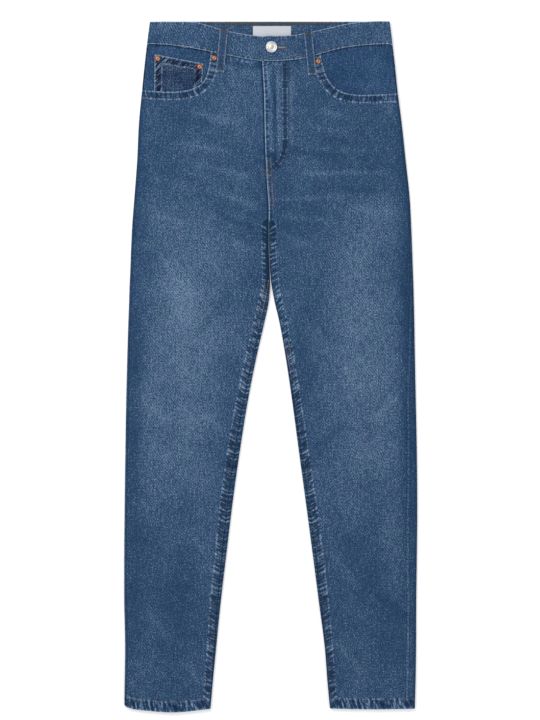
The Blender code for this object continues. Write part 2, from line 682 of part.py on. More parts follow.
def make_front_loop(loop):
    outer, inner = [], []
    for share in (0.0, 0.06, 0.15, 0.3, 0.5, 0.68, 0.8, 0.9, 0.96, 1.0):
        x_middle = mix(loop.top.x, loop.low.x, share)
        down = mix(loop.top.down, loop.low.down, share)
        arch = LOOP_ARCH * ramp(share, 0.04, 0.3) * (1 - ramp(share, 0.7, 0.93))
        outer_row, inner_row = [], []
        for side in (-0.5, 0.0, 0.5):
            x = x_middle + side * LOOP_WIDTH
            low = max(loop_height(x_middle + s * LOOP_WIDTH, down) for s in (-0.5, 0, 0.5)) + SEAM_GAP + arch
            outer_row.append((x, down, low + LOOP_WALL))
            inner_row.append((x, down, low))
        outer.append(outer_row)
        inner.append(inner_row)
    return wall_between(loop.name, outer, inner, DENIM_BLUE)


def make_back_loop(loop):
    """A loop under the back waistband, pressed flat by the jeans' own weight."""
    half = LOOP_WIDTH / 2
    outline = [(loop.top.x - half, loop.top.down), (loop.top.x + half, loop.top.down),
               (loop.low.x + half, loop.low.down), (loop.low.x - half, loop.low.down)]
    return prism(loop.name, outline, 0.0, BACK_LIFT - SEAM_GAP, DENIM_BLUE)


# Shank button through the keyhole of the left waistband end
BUTTON = Spot(1.1, 39.8)
BUTTON_RADIUS = 8.75
SHANK_RADIUS = 2.4
BUTTONHOLE_END = 23.0
BUTTONHOLE_WIDTH = 2.6


def make_button():
    cap = TAB_LIFT + SEAM_GAP
    rim = cap + 1.0
    profile = [(0, 0), (SHANK_RADIUS, 0), (SHANK_RADIUS, cap), (BUTTON_RADIUS - 0.8, cap),
               (BUTTON_RADIUS, rim - 0.3), (BUTTON_RADIUS - 0.4, rim + 0.5), (BUTTON_RADIUS - 1.4, rim + 0.8),
               (BUTTON_RADIUS - 2.6, rim + 0.35), (BUTTON_RADIUS - 5.0, rim + 0.5), (0, rim + 0.75)]
    return turned("button", profile, BUTTON, BAND_HEIGHT + SEAM_GAP, 28, NICKEL)


def make_buttonhole_cutter():
    outline = []
    eye = SHANK_RADIUS + 0.6
    half = BUTTONHOLE_WIDTH / 2
    for k in range(11):
        angle = math.radians(30 + 30 * k)
        outline.append((BUTTON.x + eye * math.cos(angle), BUTTON.down + eye * math.sin(angle)))
    end = BUTTONHOLE_END
    outline += [(end - 1, BUTTON.down - half), (end, BUTTON.down), (end - 1, BUTTON.down + half)]
    return prism("buttonhole_cutter", outline, BAND_HEIGHT + 0.1, BAND_HEIGHT + TAB_LIFT + 6, DENIM_DARK)


# Rivets: a domed cap with a dimple
RIVET_RADIUS = 4.3
RIVETS = (("rivet_coin_outer", Spot(-169.6, 56.4), DENIM + SEAM_GAP),
          ("rivet_coin_inner", Spot(-106.4, 68.6), DENIM + SEAM_GAP),
          ("rivet_pocket_right", Spot(-84.6, 55.8), 0.0),
          ("rivet_pocket_left", Spot(71.2, 60.9), 0.0))


def make_rivet(name, centre, lie):
    leg = RIGHT if centre.x < 0 else LEFT
    base = body_height(centre.down) + front_rise(leg, centre.x, centre.down) - lie + SEAM_GAP
    profile = [(0, 0), (RIVET_RADIUS, 0), (RIVET_RADIUS, 0.35), (RIVET_RADIUS - 0.6, 0.9),
               (RIVET_RADIUS - 1.7, 1.15), (1.2, 0.75), (0, 0.65)]
    return turned(name, profile, centre, base, 14, COPPER)


# Closed zip under the fly: (from the fly edge, top, thickness)
ZIP_PROFILE = ((9.0, 0.0, 0.8), (15.6, 0.0, 0.8), (16.2, 0.0, 1.5), (19.0, 0.0, 1.5), (21.8, 0.0, 1.5),
               (22.4, 0.0, 0.8), (30.5, 0.0, 0.8))
ZIP_TOP = 66.0
ZIP_LOW = 204.0


def make_zip():
    outer, inner = [], []
    for share in np.linspace(0, 1, 8):
        down = mix(ZIP_TOP, ZIP_LOW, float(share))
        outer_row, inner_row = [], []
        for offset, _, thickness in ZIP_PROFILE:
            x = fly_edge(down) + offset
            top = body_height(down) + FLY_LIFT - DENIM - SEAM_GAP + min(fold_relief(x, down), 0) * ramp(down, 130, 170)
            outer_row.append((x, down, top))
            inner_row.append((x, down, top - thickness))
        outer.append(outer_row)
        inner.append(inner_row)
    return wall_between("zip", outer, inner, TWILL_TAPE)


# Plain label on the inside of the back waistband
LABEL = (Spot(-26.6, 7.5), Spot(30.4, 38.0))
LABEL_WALL = 0.6


def make_label():
    low = BACK_LIFT + BAND_WALL + SEAM_GAP
    first, last = LABEL
    outline = [(first.x, first.down), (last.x, first.down), (last.x, last.down), (first.x, last.down)]
    return prism("inner_label", outline, low, low + LABEL_WALL, LABEL_WHITE)


def pocket_cutter(name, opening):
    """Everything of a front above its pocket opening."""
    path = rounded_path(opening)
    far = opening[-1].x
    return prism(name, path + [(far, 20.0), (opening[0].x, 20.0)], 1.0, 20.0, DENIM_DARK)


for old in list(bpy.data.objects):
    bpy.data.objects.remove(old)

for leg, opening in ((RIGHT, POCKET_RIGHT), (LEFT, POCKET_LEFT)):
    front = make_panel(leg, "front")
    cut(front, pocket_cutter("pocket_cutter_" + leg.name, opening))
    make_panel(leg, "back")
    make_yoke(leg)
    make_facing(leg, opening)
    make_back_pocket(leg)

cut(make_waistband(), make_buttonhole_cutter())
make_coin_pocket()
for loop in FRONT_LOOPS:
    make_front_loop(loop)
for loop in BACK_LOOPS:
    make_back_loop(loop)
make_button()
for name, centre, lie in RIVETS:
    make_rivet(name, centre, lie)
make_zip()
make_label()
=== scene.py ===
"""Relaxed fit denim jeans laid flat on their back: cloth, sewing, metal and the table they lie on.

Places are in millimetres, x across and down from the top of the back waistband, until they are put on
the table in metres. Names use the wearer's sides: the right leg lies at -X.
"""
import math
from collections import namedtuple

import bmesh
import bpy
import numpy as np
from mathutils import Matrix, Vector


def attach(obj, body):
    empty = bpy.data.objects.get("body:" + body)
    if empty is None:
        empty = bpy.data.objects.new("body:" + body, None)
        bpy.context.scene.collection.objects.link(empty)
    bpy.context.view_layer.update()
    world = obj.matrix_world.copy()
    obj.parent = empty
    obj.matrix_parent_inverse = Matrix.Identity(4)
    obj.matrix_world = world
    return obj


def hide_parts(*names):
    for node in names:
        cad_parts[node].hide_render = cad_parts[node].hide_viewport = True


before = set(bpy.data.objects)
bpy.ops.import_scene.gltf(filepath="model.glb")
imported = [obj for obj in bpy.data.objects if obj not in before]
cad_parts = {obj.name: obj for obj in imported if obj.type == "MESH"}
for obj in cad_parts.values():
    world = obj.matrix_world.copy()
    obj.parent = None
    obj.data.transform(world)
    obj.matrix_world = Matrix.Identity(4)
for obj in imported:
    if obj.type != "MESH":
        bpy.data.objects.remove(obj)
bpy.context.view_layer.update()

# Leg panels.
# Two fronts and two backs of washed indigo denim, joined along the outseam and the inseam. The backs wrap
# round both folds, so a strip of them shows beside each seam that has rolled over the front.
MM = 0.001
LENGTH = 1037.0
BACK_BAND_TOP = 0.5
BACK_BAND_LOW = 38.8
MIDDLE_DOWN = (BACK_BAND_TOP + LENGTH) / 2
CROTCH = 306.0
HEM_BAND = 16.0
DENIM = 1.2
HEM_WALL = 2.2
SEAM_GAP = 0.3
WAIST_GAP = 0.5
HIP_HEIGHT = 8.0
LEG_HEIGHT = 5.4
HEM_HEIGHT = 6.4
BACK_LIFT = 1.7
FLY_LIFT = 1.5
FLY_WIDTH = 33.0
FLY_END = 216.0
FLY_OVERLAP = 8.0
SEAT_END = 280.0
UNDER_REACH = -7.0
CENTRE_BACK = -3.0
# Stretches, from and to, over which heights change: down the leg, or inwards from a panel's edges
HIP_SLOPE = (120, 240)
HEM_SLOPE = (960, 1012)
SEAT_SLOPE = (8, 45)
FOLDS_DOWN = (130, 170)
FOLDS_INWARDS = (5, 30)
CREASES_INWARDS = (2, 14)
WAVES_DOWN = (60, 100)
FLY_SIDE_SLOPE = 14
FLY_END_SLOPE = 16
FLY_TAPER = (-12, -2)
CROTCH_ROLL = 8
WAIST_TURN = 12.0
YOKE_REACH = 190.0
# Beyond this distance no seam marks the cloth, and a seam's width is kept as a share of this unit
FAR_FROM_SEAM = 60.0
AWAY_FROM_SEAM = 30.0
WIDTH_UNIT = 20.0

LegRow = namedtuple("LegRow", "down outer outseam inner inseam")
RIGHT_ROWS = [LegRow(*row) for row in (
    (0, -181.3, 2.0, -3.2, 0.2), (60, -188.8, 2.0, -3.2, 0.2), (105, -193.3, 2.0, -3.2, 0.2),
    (150, -197.7, 2.0, -3.2, 0.2), (210, -200.7, 2.0, -3.2, 0.2), (270, -205.2, 2.0, -3.2, 0.2),
    (306, -208.0, 2.0, -3.2, 0.2), (345, -209.9, 2.0, -2.8, 0.2), (375, -211.0, 2.0, -1.5, 1.0),
    (397, -212.0, 2.0, -1.1, 3.0), (420, -212.7, 2.0, -2.8, 6.0), (450, -213.8, 2.0, -9.0, 6.5),
    (495, -215.2, 2.0, -19.4, 6.5), (570, -217.1, 2.0, -34.3, 8.0), (645, -218.3, 2.0, -46.3, 9.0),
    (720, -219.3, 2.0, -56.8, 9.0), (810, -220.1, 2.0, -67.7, 7.5), (870, -220.0, 2.0, -74.8, 6.5),
    (945, -218.7, 2.0, -82.3, 4.0), (990, -219.4, 2.0, -86.7, 3.0), (1032, -219.9, 2.0, -90.4, 2.5))]
LEFT_ROWS = [LegRow(*row) for row in (
    (0, 178.4, 2.0, -2.8, 0.2), (60, 185.8, 2.0, -2.8, 0.2), (105, 190.4, 2.0, -2.8, 0.2),
    (150, 196.2, 2.0, -2.8, 0.2), (210, 202.8, 2.0, -2.8, 0.2), (270, 209.0, 2.0, -2.8, 0.2),
    (306, 210.9, 2.0, -2.8, 0.2), (345, 212.5, 3.0, -2.3, 0.2), (375, 213.5, 4.0, -0.9, 0.2),
    (397, 214.3, 5.0, 1.3, 0.4), (420, 214.9, 6.0, 5.6, 0.8), (450, 215.6, 7.5, 12.6, 1.4),
    (495, 216.4, 9.5, 20.8, 2.5), (570, 217.9, 13.5, 32.1, 4.0), (645, 219.4, 14.0, 42.1, 5.0),
    (720, 220.1, 15.5, 52.3, 6.0), (810, 219.4, 15.5, 64.2, 6.0), (870, 218.6, 13.5, 71.9, 5.0),
    (945, 218.3, 14.5, 81.5, 2.5), (990, 217.6, 14.5, 84.9, 2.0), (1032, 216.4, 14.5, 88.9, 2.0))]
Spot = namedtuple("Spot", "x down")
FLY_EDGE = [Spot(-13.0, 50), Spot(-12.7, 61), Spot(-10.3, 104), Spot(-8.8, 172), Spot(-7.3, 213),
            Spot(-5.2, 250), Spot(-3.3, 275), Spot(-3.0, 306)]
WAIST_SEAM = [Spot(-188, 34.5), Spot(-155, 36), Spot(-130, 39), Spot(-97, 45), Spot(-60, 52.5),
              Spot(-20, 59.6), Spot(0, 60.6), Spot(25, 59.6), Spot(50, 56.4), Spot(75, 49.5),
              Spot(102, 42.2), Spot(130, 37.6), Spot(160, 35.4), Spot(188, 34.8)]
HEM_RIGHT = [Spot(-221, 1024), Spot(-218, 1027.5), Spot(-210, 1031), Spot(-190, 1034), Spot(-149, LENGTH),
             Spot(-91, 1032)]
HEM_LEFT = [Spot(80, 1031), Spot(150, 1032.5), Spot(221, 1031.5)]
POCKET_RIGHT = [Spot(-88.5, 30), Spot(-90.5, 54.6), Spot(-93.5, 71.9), Spot(-98.5, 87.0), Spot(-105.5, 95.6),
                Spot(-118, 102), Spot(-134, 105.6), Spot(-161, 106.2), Spot(-191, 104), Spot(-230, 100)]
POCKET_LEFT = [Spot(71, 32), Spot(77.9, 65), Spot(84.7, 85.5), Spot(95, 99.3), Spot(108.8, 107.1),
               Spot(126.1, 110.6), Spot(157.1, 110.6), Spot(190.6, 108.9), Spot(230, 105)]
YOKE_CENTRE = 104.0
YOKE_SIDE = 72.0

# Wide folds that the solids have too, then the smaller creases of a pair that has been worn and washed
Fold = namedtuple("Fold", "x0 down0 x1 down1 width height")
FOLDS = [Fold(*row) for row in (
    (-186, 168, -60, 178, 16, 0.7), (-180, 198, -40, 214, 15, -0.7), (-120, 236, -12, 264, 16, 0.8),
    (-190, 250, -90, 292, 18, -0.6), (40, 226, 185, 231, 15, 0.8), (12, 262, 130, 270, 15, -0.8),
    (70, 296, 180, 318, 18, 0.6), (-130, 330, -150, 520, 24, 0.8), (120, 350, 132, 560, 24, 0.8),
    (-90, 470, -120, 640, 20, -0.7), (80, 480, 96, 660, 20, -0.7), (-160, 640, -110, 700, 20, 0.8),
    (110, 640, 170, 690, 20, 0.8), (-165, 760, -135, 960, 20, 0.7), (135, 770, 150, 960, 20, 0.7))]
CREASES = [Fold(*row) for row in (
    (48, 229, 182, 227, 3.2, 0.55), (0, 268, 112, 264, 3.0, 0.5), (70, 133, 112, 146, 5.0, 0.4),
    (58, 158, 128, 172, 5.5, 0.4), (30, 196, 100, 205, 6.0, -0.35), (70, 190, 150, 196, 5.0, 0.3),
    (96, 250, 170, 256, 5.0, -0.35), (20, 292, 90, 300, 5.0, 0.35), (120, 280, 195, 288, 6.0, 0.3),
    (-120, 138, -50, 152, 6.0, 0.4), (-150, 182, -62, 196, 5.0, 0.4), (-110, 216, -30, 232, 5.0, 0.45),
    (-95, 254, -20, 276, 4.5, 0.4), (-170, 226, -110, 240, 6.0, -0.35), (-80, 290, -22, 312, 5.0, -0.4),
    (-180, 290, -120, 304, 6.0, 0.3), (-62, 68, -52, 86, 2.6, 0.45), (-72, 84, -58, 108, 3.0, -0.3),
    (-60, 330, -16, 352, 6.0, 0.35), (20, 322, 70, 340, 6.0, 0.35), (-58, 402, -110, 470, 7.0, -0.3),
    (48, 420, 90, 480, 7.0, -0.3), (-200, 560, -150, 610, 7.0, 0.3), (-100, 590, -60, 626, 6.0, 0.3),
    (150, 600, 196, 560, 7.0, 0.3), (70, 640, 110, 604, 6.0, -0.3), (-205, 700, -150, 740, 7.0, -0.3),
    (-110, 780, -80, 830, 6.0, 0.3), (90, 800, 130, 850, 7.0, 0.3), (160, 860, 205, 900, 7.0, -0.3),
    (-190, 880, -150, 930, 7.0, 0.3), (-130, 960, -100, 1000, 6.0, 0.3), (100, 930, 140, 985, 6.0, 0.3))]
# Slight waves all over the fronts
Wave = namedtuple("Wave", "height wide tall seed")
WAVES = (Wave(0.22, 46, 70, 7), Wave(0.12, 17, 24, 8))
# Rows of the panels' grids follow the waist above the first, lie closer round the crotch, and follow the hem
TOP_ZONE = 146.0
FORK_ZONE = (288, 326)
HEM_ZONE = 1000.0


def curve_through(pairs):
    """A smooth function through (place, value) pairs, level beyond its ends."""
    places, values = np.array(pairs, float).T
    slopes = np.gradient(values, places)

    def value_at(place):
        place = np.clip(np.asarray(place, float), places[0], places[-1])
        k = np.clip(np.searchsorted(places, place, side="right") - 1, 0, len(places) - 2)
        span = places[k + 1] - places[k]
        t = (place - places[k]) / span
        start = (1 + 2 * t) * (1 - t) ** 2 * values[k] + t * (1 - t) ** 2 * slopes[k] * span
        end = t * t * (3 - 2 * t) * values[k + 1] - t * t * (1 - t) * slopes[k + 1] * span
        return start + end
    return value_at


def edge_by_x(spots):
    return curve_through([(spot.x, spot.down) for spot in spots])


def mix(a, b, t):
    return a + (b - a) * t


def ramp(value, start, end):
    """0 before start, 1 after end, smooth between them."""
    t = np.clip((np.asarray(value, float) - start) / (end - start), 0, 1)
    return t * t * (3 - 2 * t)


def bump(value, middle, width):
    return np.exp(-((value - middle) / width) ** 2)


CLOUD_TABLE = (251, 241)
CLOUD_SHIFT = 100


def cloud(x, y, size_x, size_y, seed):
    """Smooth random relief from -1 to 1 with patches of the given size."""
    table = np.random.default_rng(seed).uniform(-1, 1, CLOUD_TABLE)
    u, v = np.asarray(x) / size_x + CLOUD_SHIFT, np.asarray(y) / size_y + CLOUD_SHIFT
    i, j = np.floor(u).astype(int), np.floor(v).astype(int)
    s, t = u - i, v - j
    s, t = s * s * (3 - 2 * s), t * t * (3 - 2 * t)

    def pick(a, b):
        return table[(i + a) % CLOUD_TABLE[0], (j + b) % CLOUD_TABLE[1]]
    return mix(mix(pick(0, 0), pick(1, 0), s), mix(pick(0, 1), pick(1, 1), s), t)


Leg = namedtuple("Leg", "name outward outer outseam inner inseam hem")


def leg_from(name, outward, rows, hem):
    columns = [curve_through([(row.down, getattr(row, column)) for row in rows])
               for column in ("outer", "outseam", "inner", "inseam")]
    return Leg(name, outward, *columns, edge_by_x(hem))


RIGHT = leg_from("right", -1, RIGHT_ROWS, HEM_RIGHT)
LEFT = leg_from("left", 1, LEFT_ROWS, HEM_LEFT)
fly_edge = curve_through([(spot.down, spot.x) for spot in FLY_EDGE])
front_waist = edge_by_x(WAIST_SEAM)


def smooth_path(spots, spacing=4.0):
    """A smooth path through spots, as an array of (x, down) points."""
    points = np.array(spots, float)
    stations = np.concatenate(([0], np.cumsum(np.hypot(*np.diff(points, axis=0).T))))
    run = np.linspace(0, stations[-1], max(int(stations[-1] / spacing), 2) + 1)
    x_at = curve_through(np.column_stack((stations, points[:, 0])))
    down_at = curve_through(np.column_stack((stations, points[:, 1])))
    return np.column_stack((x_at(run), down_at(run)))


def nearest(path, x, down):
    """Distance to a path, and how far along it the nearest point is."""
    starts, steps = path[:-1], np.diff(path, axis=0)
    lengths = np.hypot(*steps.T)
    runs = np.concatenate(([0], np.cumsum(lengths)))[:-1]
    best = np.full(np.shape(x), 1e9)
    along = np.zeros(np.shape(x))
    for start, step, length, run in zip(starts, steps, lengths, runs):
        t = np.clip(((x - start[0]) * step[0] + (down - start[1]) * step[1]) / length ** 2, 0, 1)
        distance = np.hypot(x - start[0] - t * step[0], down - start[1] - t * step[1])
        closer = distance < best
        best = np.where(closer, distance, best)
        along = np.where(closer, run + t * length, along)
    return best, along


def body_height(down):
    hip = mix(HIP_HEIGHT, LEG_HEIGHT, ramp(down, *HIP_SLOPE))
    return mix(hip, HEM_HEIGHT, ramp(down, *HEM_SLOPE))


def folds_at(folds, x, down):
    """Sum of a list of folds: each is highest in its middle and runs out at its ends."""
    total = np.zeros(np.broadcast(x, down).shape)
    for fold in folds:
        dx, dd = fold.x1 - fold.x0, fold.down1 - fold.down0
        length = math.hypot(dx, dd)
        run = ((x - fold.x0) * dx + (down - fold.down0) * dd) / length ** 2
        side = ((x - fold.x0) * dd - (down - fold.down0) * dx) / length / fold.width
        total += fold.height * np.exp(-side * side) * ramp(run, -0.15, 0.25) * (1 - ramp(run, 0.75, 1.15))
    return total


def inner_edge(leg, down, layer):
    """x of a leg's inner fold or, above the crotch, of the centre seam."""
    centre = fly_edge(down) if layer == "front" else np.full(np.shape(down), CENTRE_BACK)
    centre = centre + leg.outward * SEAM_GAP / 2
    if layer == "front" and leg is RIGHT:
        centre = centre + FLY_OVERLAP * (1 - ramp(down - FLY_END, *FLY_TAPER))
    return np.where(down >= CROTCH, leg.inner(down), centre)


# Stitched lines of the fronts, as paths of (x, down)
FLY_STITCH = [Spot(20.4, 62), Spot(21.2, 110), Spot(21.4, 160), Spot(20.6, 190), Spot(16, 206),
              Spot(5, 219), Spot(-4.5, 225)]
POCKET_PATHS = {"right": smooth_path(POCKET_RIGHT), "left": smooth_path(POCKET_LEFT)}
FLY_PATH = smooth_path(FLY_STITCH)
centre_downs = np.linspace(50, CROTCH, 60)
CENTRE_PATH = np.column_stack((fly_edge(centre_downs), centre_downs))
waist_xs = np.linspace(-190, 190, 90)
WAIST_PATH = np.column_stack((waist_xs, front_waist(waist_xs)))
leg_downs = np.linspace(CROTCH, LENGTH - 4, 160)


def seam_path(leg, which):
    """The outseam or inseam as it shows from above, pushed out to the fold where it lies under it."""
    radius = body_height(leg_downs) / 2
    quarter = radius * math.pi / 2
    if which == "inseam":
        edge, along, inward = leg.inner(leg_downs), leg.inseam(leg_downs), leg.outward
    else:
        edge, along, inward = leg.outer(leg_downs), leg.outseam(leg_downs), -leg.outward
    angle = np.minimum(along / radius, math.pi / 2)
    across = radius * (1 - np.cos(angle)) + np.maximum(along - quarter, 0)
    return np.column_stack((edge + inward * across, leg_downs))


SEAM_PATHS = {(leg.name, which): seam_path(leg, which)
              for leg in (RIGHT, LEFT) for which in ("inseam", "outseam")}
HEM_PATHS = {}
for leg in (RIGHT, LEFT):
    ends = sorted((float(leg.inner(LENGTH)), float(leg.outer(LENGTH))))
    hem_xs = np.linspace(ends[0], ends[1], 40)
    HEM_PATHS[leg.name] = np.column_stack((hem_xs, leg.hem(hem_xs)))

# The material's pucker noise has one grain size, so a line's run is scaled to it and lines are kept apart
NOISE_CELL = 5.0
RUN_APART = 1500.0
# How a sewn line shows on the panel beside it: its doubled band's width and height, the depth and length of
# its puckers and their slant, and how pale its edge, its band and its puckers are; a negative edge is a
# painted shadow line beside the seam
Sewn = namedtuple("Sewn", "path width height pucker cell slant edge band tick")


def sewn_lines(leg, layer):
    """The sewn lines that mark a panel, each with its doubled edge."""
    lines = [Sewn(HEM_PATHS[leg.name], HEM_BAND - 1.0, 0.5, 0.34, 6.5, 0.25, 0.45, 0.7, 1.0),
             Sewn(SEAM_PATHS[leg.name, "inseam"], 10.5, 0.4, 0.22, 5.2, 0.45, -0.5, 0.7, 0.9),
             Sewn(SEAM_PATHS[leg.name, "outseam"], 4.0, 0.25, 0.06, 6.0, 0.1, 0.5, 0.35, 0.1)]
    if layer == "back":
        return lines
    lines.append(Sewn(POCKET_PATHS[leg.name], 11.5, 0.45, 0.16, 4.4, 0.1, 1.0, 1.0, 0.75))
    lines.append(Sewn(WAIST_PATH, 5.0, 0.2, 0.22, 7.0, 0.1, -0.5, 0.15, 0.5))
    if leg is LEFT:
        lines.append(Sewn(CENTRE_PATH, 6.0, 0.3, 0.12, 5.5, 0.1, 1.3, 0.5, 0.5))
        lines.append(Sewn(FLY_PATH, 3.4, 0.2, 0.25, 4.0, 0.3, -0.6, 0.9, 0.9))
    return lines


def seam_relief(leg, layer, x, down):
    """Height that the sewn lines add, and for the material the nearest one's run, distance and looks."""
    height = np.zeros(np.shape(x))
    best = np.full(np.shape(x), FAR_FROM_SEAM)
    run_of_best = np.zeros(np.shape(x))
    looks = np.zeros(np.shape(x) + (4,))
    for number, line in enumerate(sewn_lines(leg, layer)):
        distance, run = nearest(line.path, x, down)
        doubled = 1 - ramp(distance, line.width - 1.0, line.width + 1.5)
        along = run + line.slant * distance
        waves = cloud(along, distance, line.cell, 22.0, 40 + number)
        finer = cloud(along, distance, line.cell * 0.45, 9.0, 60 + number)
        fade = 1 - ramp(distance, line.width * 0.8, line.width + 6)
        height += line.height * doubled + line.pucker * (waves + 0.4 * finer) * fade
        closer = distance - line.width < best - looks[..., 3] * WIDTH_UNIT
        best = np.where(closer, distance, best)
        run_of_best = np.where(closer, along * NOISE_CELL / line.cell + RUN_APART * number, run_of_best)
        looks = np.where(closer[..., None], (line.edge, line.band, line.tick, line.width / WIDTH_UNIT), looks)
    return height, best, run_of_best, looks


def front_rise(leg, x, down, fine=True):
    """What folds, creases, sewing and the fly add to the height of the front."""
    from_edges = np.minimum(np.abs(x - leg.outer(down)), np.abs(x - inner_edge(leg, down, "front")))
    inside = ramp(from_edges, *FOLDS_INWARDS)
    rise = folds_at(FOLDS, x, down) * inside * ramp(down, *FOLDS_DOWN)
    if leg is LEFT:
        over_fly = 1 - ramp(x - fly_edge(down), FLY_WIDTH, FLY_WIDTH + FLY_SIDE_SLOPE)
        rise = rise + FLY_LIFT * over_fly * (1 - ramp(down, FLY_END, FLY_END + FLY_END_SLOPE))
    if fine:
        rise = rise + folds_at(CREASES, x, down) * ramp(from_edges, *CREASES_INWARDS)
        waves = sum(wave.height * cloud(x, down, wave.wide, wave.tall, wave.seed) for wave in WAVES)
        rise = rise + waves * inside * ramp(down, *WAVES_DOWN)
    return rise


def seat_rise(down):
    """The back lies on its belt loops and pockets."""
    return BACK_LIFT * (1 - ramp(down - SEAT_END, *SEAT_SLOPE))


def cloth_points(leg, edge, along, down, depth, layer, fine=True):
    """Points of a leg, along the cloth from its outer or inner fold and some depth into the wall."""
    inward = -leg.outward if edge == "outer" else leg.outward
    edge_x = leg.outer(down) if edge == "outer" else inner_edge(leg, down, layer)
    roll = 1.0 if edge == "outer" else ramp(down, CROTCH - CROTCH_ROLL, CROTCH + CROTCH_ROLL)
    radius = body_height(down) / 2
    reach = np.abs(along)
    angle = np.minimum(reach / radius, math.pi / 2)
    past_fold = np.maximum(reach - radius * math.pi / 2, 0)
    normal_in = roll * np.cos(angle)
    normal_up = np.sqrt(1 - normal_in ** 2)
    across = mix(reach, radius * (1 - np.cos(angle)) + past_fold, roll) + depth * normal_in
    x = edge_x + inward * across
    up = radius * mix(1.0, np.sin(angle), roll) - depth * normal_up
    on_top = (along >= 0) if layer == "front" else (along > 0)
    top = radius + up + front_rise(leg, x, down, fine) * normal_up ** 2
    under = radius - up + seat_rise(down) * normal_up ** 2
    return x, np.where(on_top, top, under)


def waist_down(along, x):
    """Where the waistband ends, from the front's curve to the level back over the side fold."""
    turn = np.clip(0.5 - np.asarray(along) / WAIST_TURN, 0, 1)
    return mix(front_waist(x), BACK_BAND_LOW, turn)


def yoke_down(x):
    share = np.minimum(np.abs(x - CENTRE_BACK) / YOKE_REACH, 1)
    return mix(YOKE_CENTRE, YOKE_SIDE, share)


FRONT_STEPS = np.concatenate((np.arange(0, 14.5, 1.0), [16.0]))
FRONT_SHARES = np.concatenate((np.linspace(0, 0.2, 26)[1:], np.linspace(0.2, 1, 46)[1:-1]))
BACK_FOLD_COUNT = 18
BACK_MIDDLES = 16
FLAT_ALONG = 20.0


def column_counts(layer):
    """How many columns of a panel follow the inner fold, the flat and the outer fold."""
    if layer == "front":
        return len(FRONT_STEPS), len(FRONT_SHARES), len(FRONT_STEPS)
    return BACK_FOLD_COUNT, BACK_MIDDLES, BACK_FOLD_COUNT


def fold_alongs(leg, layer, edge, down):
    """Distances over the cloth from a fold, for the columns beside it."""
    seam = leg.inseam(down) if edge == "inner" else leg.outseam(down)
    count = down.shape[1]
    if layer == "front":
        steps = FRONT_STEPS[:count]
        places = seam + SEAM_GAP / 2 + steps
        above = steps
    else:
        shares = np.linspace(0, 1, count)
        places = mix(seam - SEAM_GAP / 2, UNDER_REACH, shares)
        above = mix(0.0, UNDER_REACH, shares)
    if edge == "inner":
        places = np.where(down < CROTCH, above, places)
    return places


def panel_surface(leg, layer, down, depth, fine=True):
    """x and height of a panel's grid, and the distance over the cloth from the side fold."""
    inner_count, _, outer_count = column_counts(layer)
    depth = np.broadcast_to(depth, down.shape)
    inner_down, outer_down = down[:, :inner_count], down[:, -outer_count:][:, ::-1]
    inner_along = fold_alongs(leg, layer, "inner", inner_down)
    outer_along = fold_alongs(leg, layer, "outer", outer_down)
    inner_depth, outer_depth = depth[:, :inner_count], depth[:, -outer_count:][:, ::-1]
    inner_x, inner_z = cloth_points(leg, "inner", inner_along, inner_down, inner_depth, layer, fine)
    outer_x, outer_z = cloth_points(leg, "outer", outer_along, outer_down, outer_depth, layer, fine)
    flat_down, flat_depth = down[:, inner_count:-outer_count], depth[:, inner_count:-outer_count]
    shares = FRONT_SHARES if layer == "front" else (np.arange(BACK_MIDDLES) + 1) / (BACK_MIDDLES + 1)
    flat_x = mix(inner_x[:, -1:], outer_x[:, -1:], shares)
    if layer == "front":
        flat_z = body_height(flat_down) + front_rise(leg, flat_x, flat_down, fine) - flat_depth
        flat_along = np.full(flat_x.shape, FLAT_ALONG)
    else:
        flat_z = seat_rise(flat_down) + flat_depth
        flat_along = np.full(flat_x.shape, -FLAT_ALONG)
    x = np.hstack((inner_x, flat_x, outer_x[:, ::-1]))
    z = np.hstack((inner_z, flat_z, outer_z[:, ::-1]))
    side = FLAT_ALONG if layer == "front" else -FLAT_ALONG
    along = np.hstack((np.full(inner_x.shape, side), flat_along, outer_along[:, ::-1]))
    return x, z, along


def panel_downs(leg, layer):
    """The grid of distances down of a panel: its ends follow the waist or yoke seam and the hem."""
    top = np.concatenate(([0, 0.006, 0.015, 0.03, 0.045], np.linspace(0.06, 1, 40)[:-1]))
    body = np.concatenate((np.arange(TOP_ZONE, FORK_ZONE[0], 3.2), np.arange(*FORK_ZONE, 2.0),
                           np.arange(FORK_ZONE[1], HEM_ZONE, 3.3)))
    hem = np.concatenate((np.linspace(0, 0.94, 22), [0.965, 0.985, 1]))
    count = sum(column_counts(layer))
    down = np.vstack([np.full(count, 60.0), np.full(count, LENGTH - 4)])
    for _ in range(3):
        x, _, along = panel_surface(leg, layer, down, 0, fine=False)
        if layer == "front":
            first = waist_down(along[0], x[0]) + WAIST_GAP / 2
        else:
            first = yoke_down(x[0]) + SEAM_GAP / 2
        down = np.vstack([first, leg.hem(x[1])])
    return np.vstack((mix(down[0], TOP_ZONE, top[:, None]), np.repeat(body[:, None], count, 1),
                      mix(HEM_ZONE, down[1], hem[:, None])))


def wall_at(down):
    """Thickness of the cloth: the hem is turned up inside."""
    return mix(DENIM, HEM_WALL, ramp(down, down[-1] - HEM_BAND - 1, down[-1] - HEM_BAND))


def grid_faces(rows, columns):
    index = np.arange(rows * columns).reshape(rows, columns)
    return np.stack((index[:-1, :-1], index[1:, :-1], index[1:, 1:], index[:-1, 1:]), -1).reshape(-1, 4)


def rim_loop(rows, columns):
    index = np.arange(rows * columns).reshape(rows, columns)
    return np.concatenate((index[:, 0], index[-1, 1:], index[-2::-1, -1], index[0, -2:0:-1]))


def add_object(name, data):
    item = bpy.data.objects.new(name, data)
    bpy.context.scene.collection.objects.link(item)
    return item


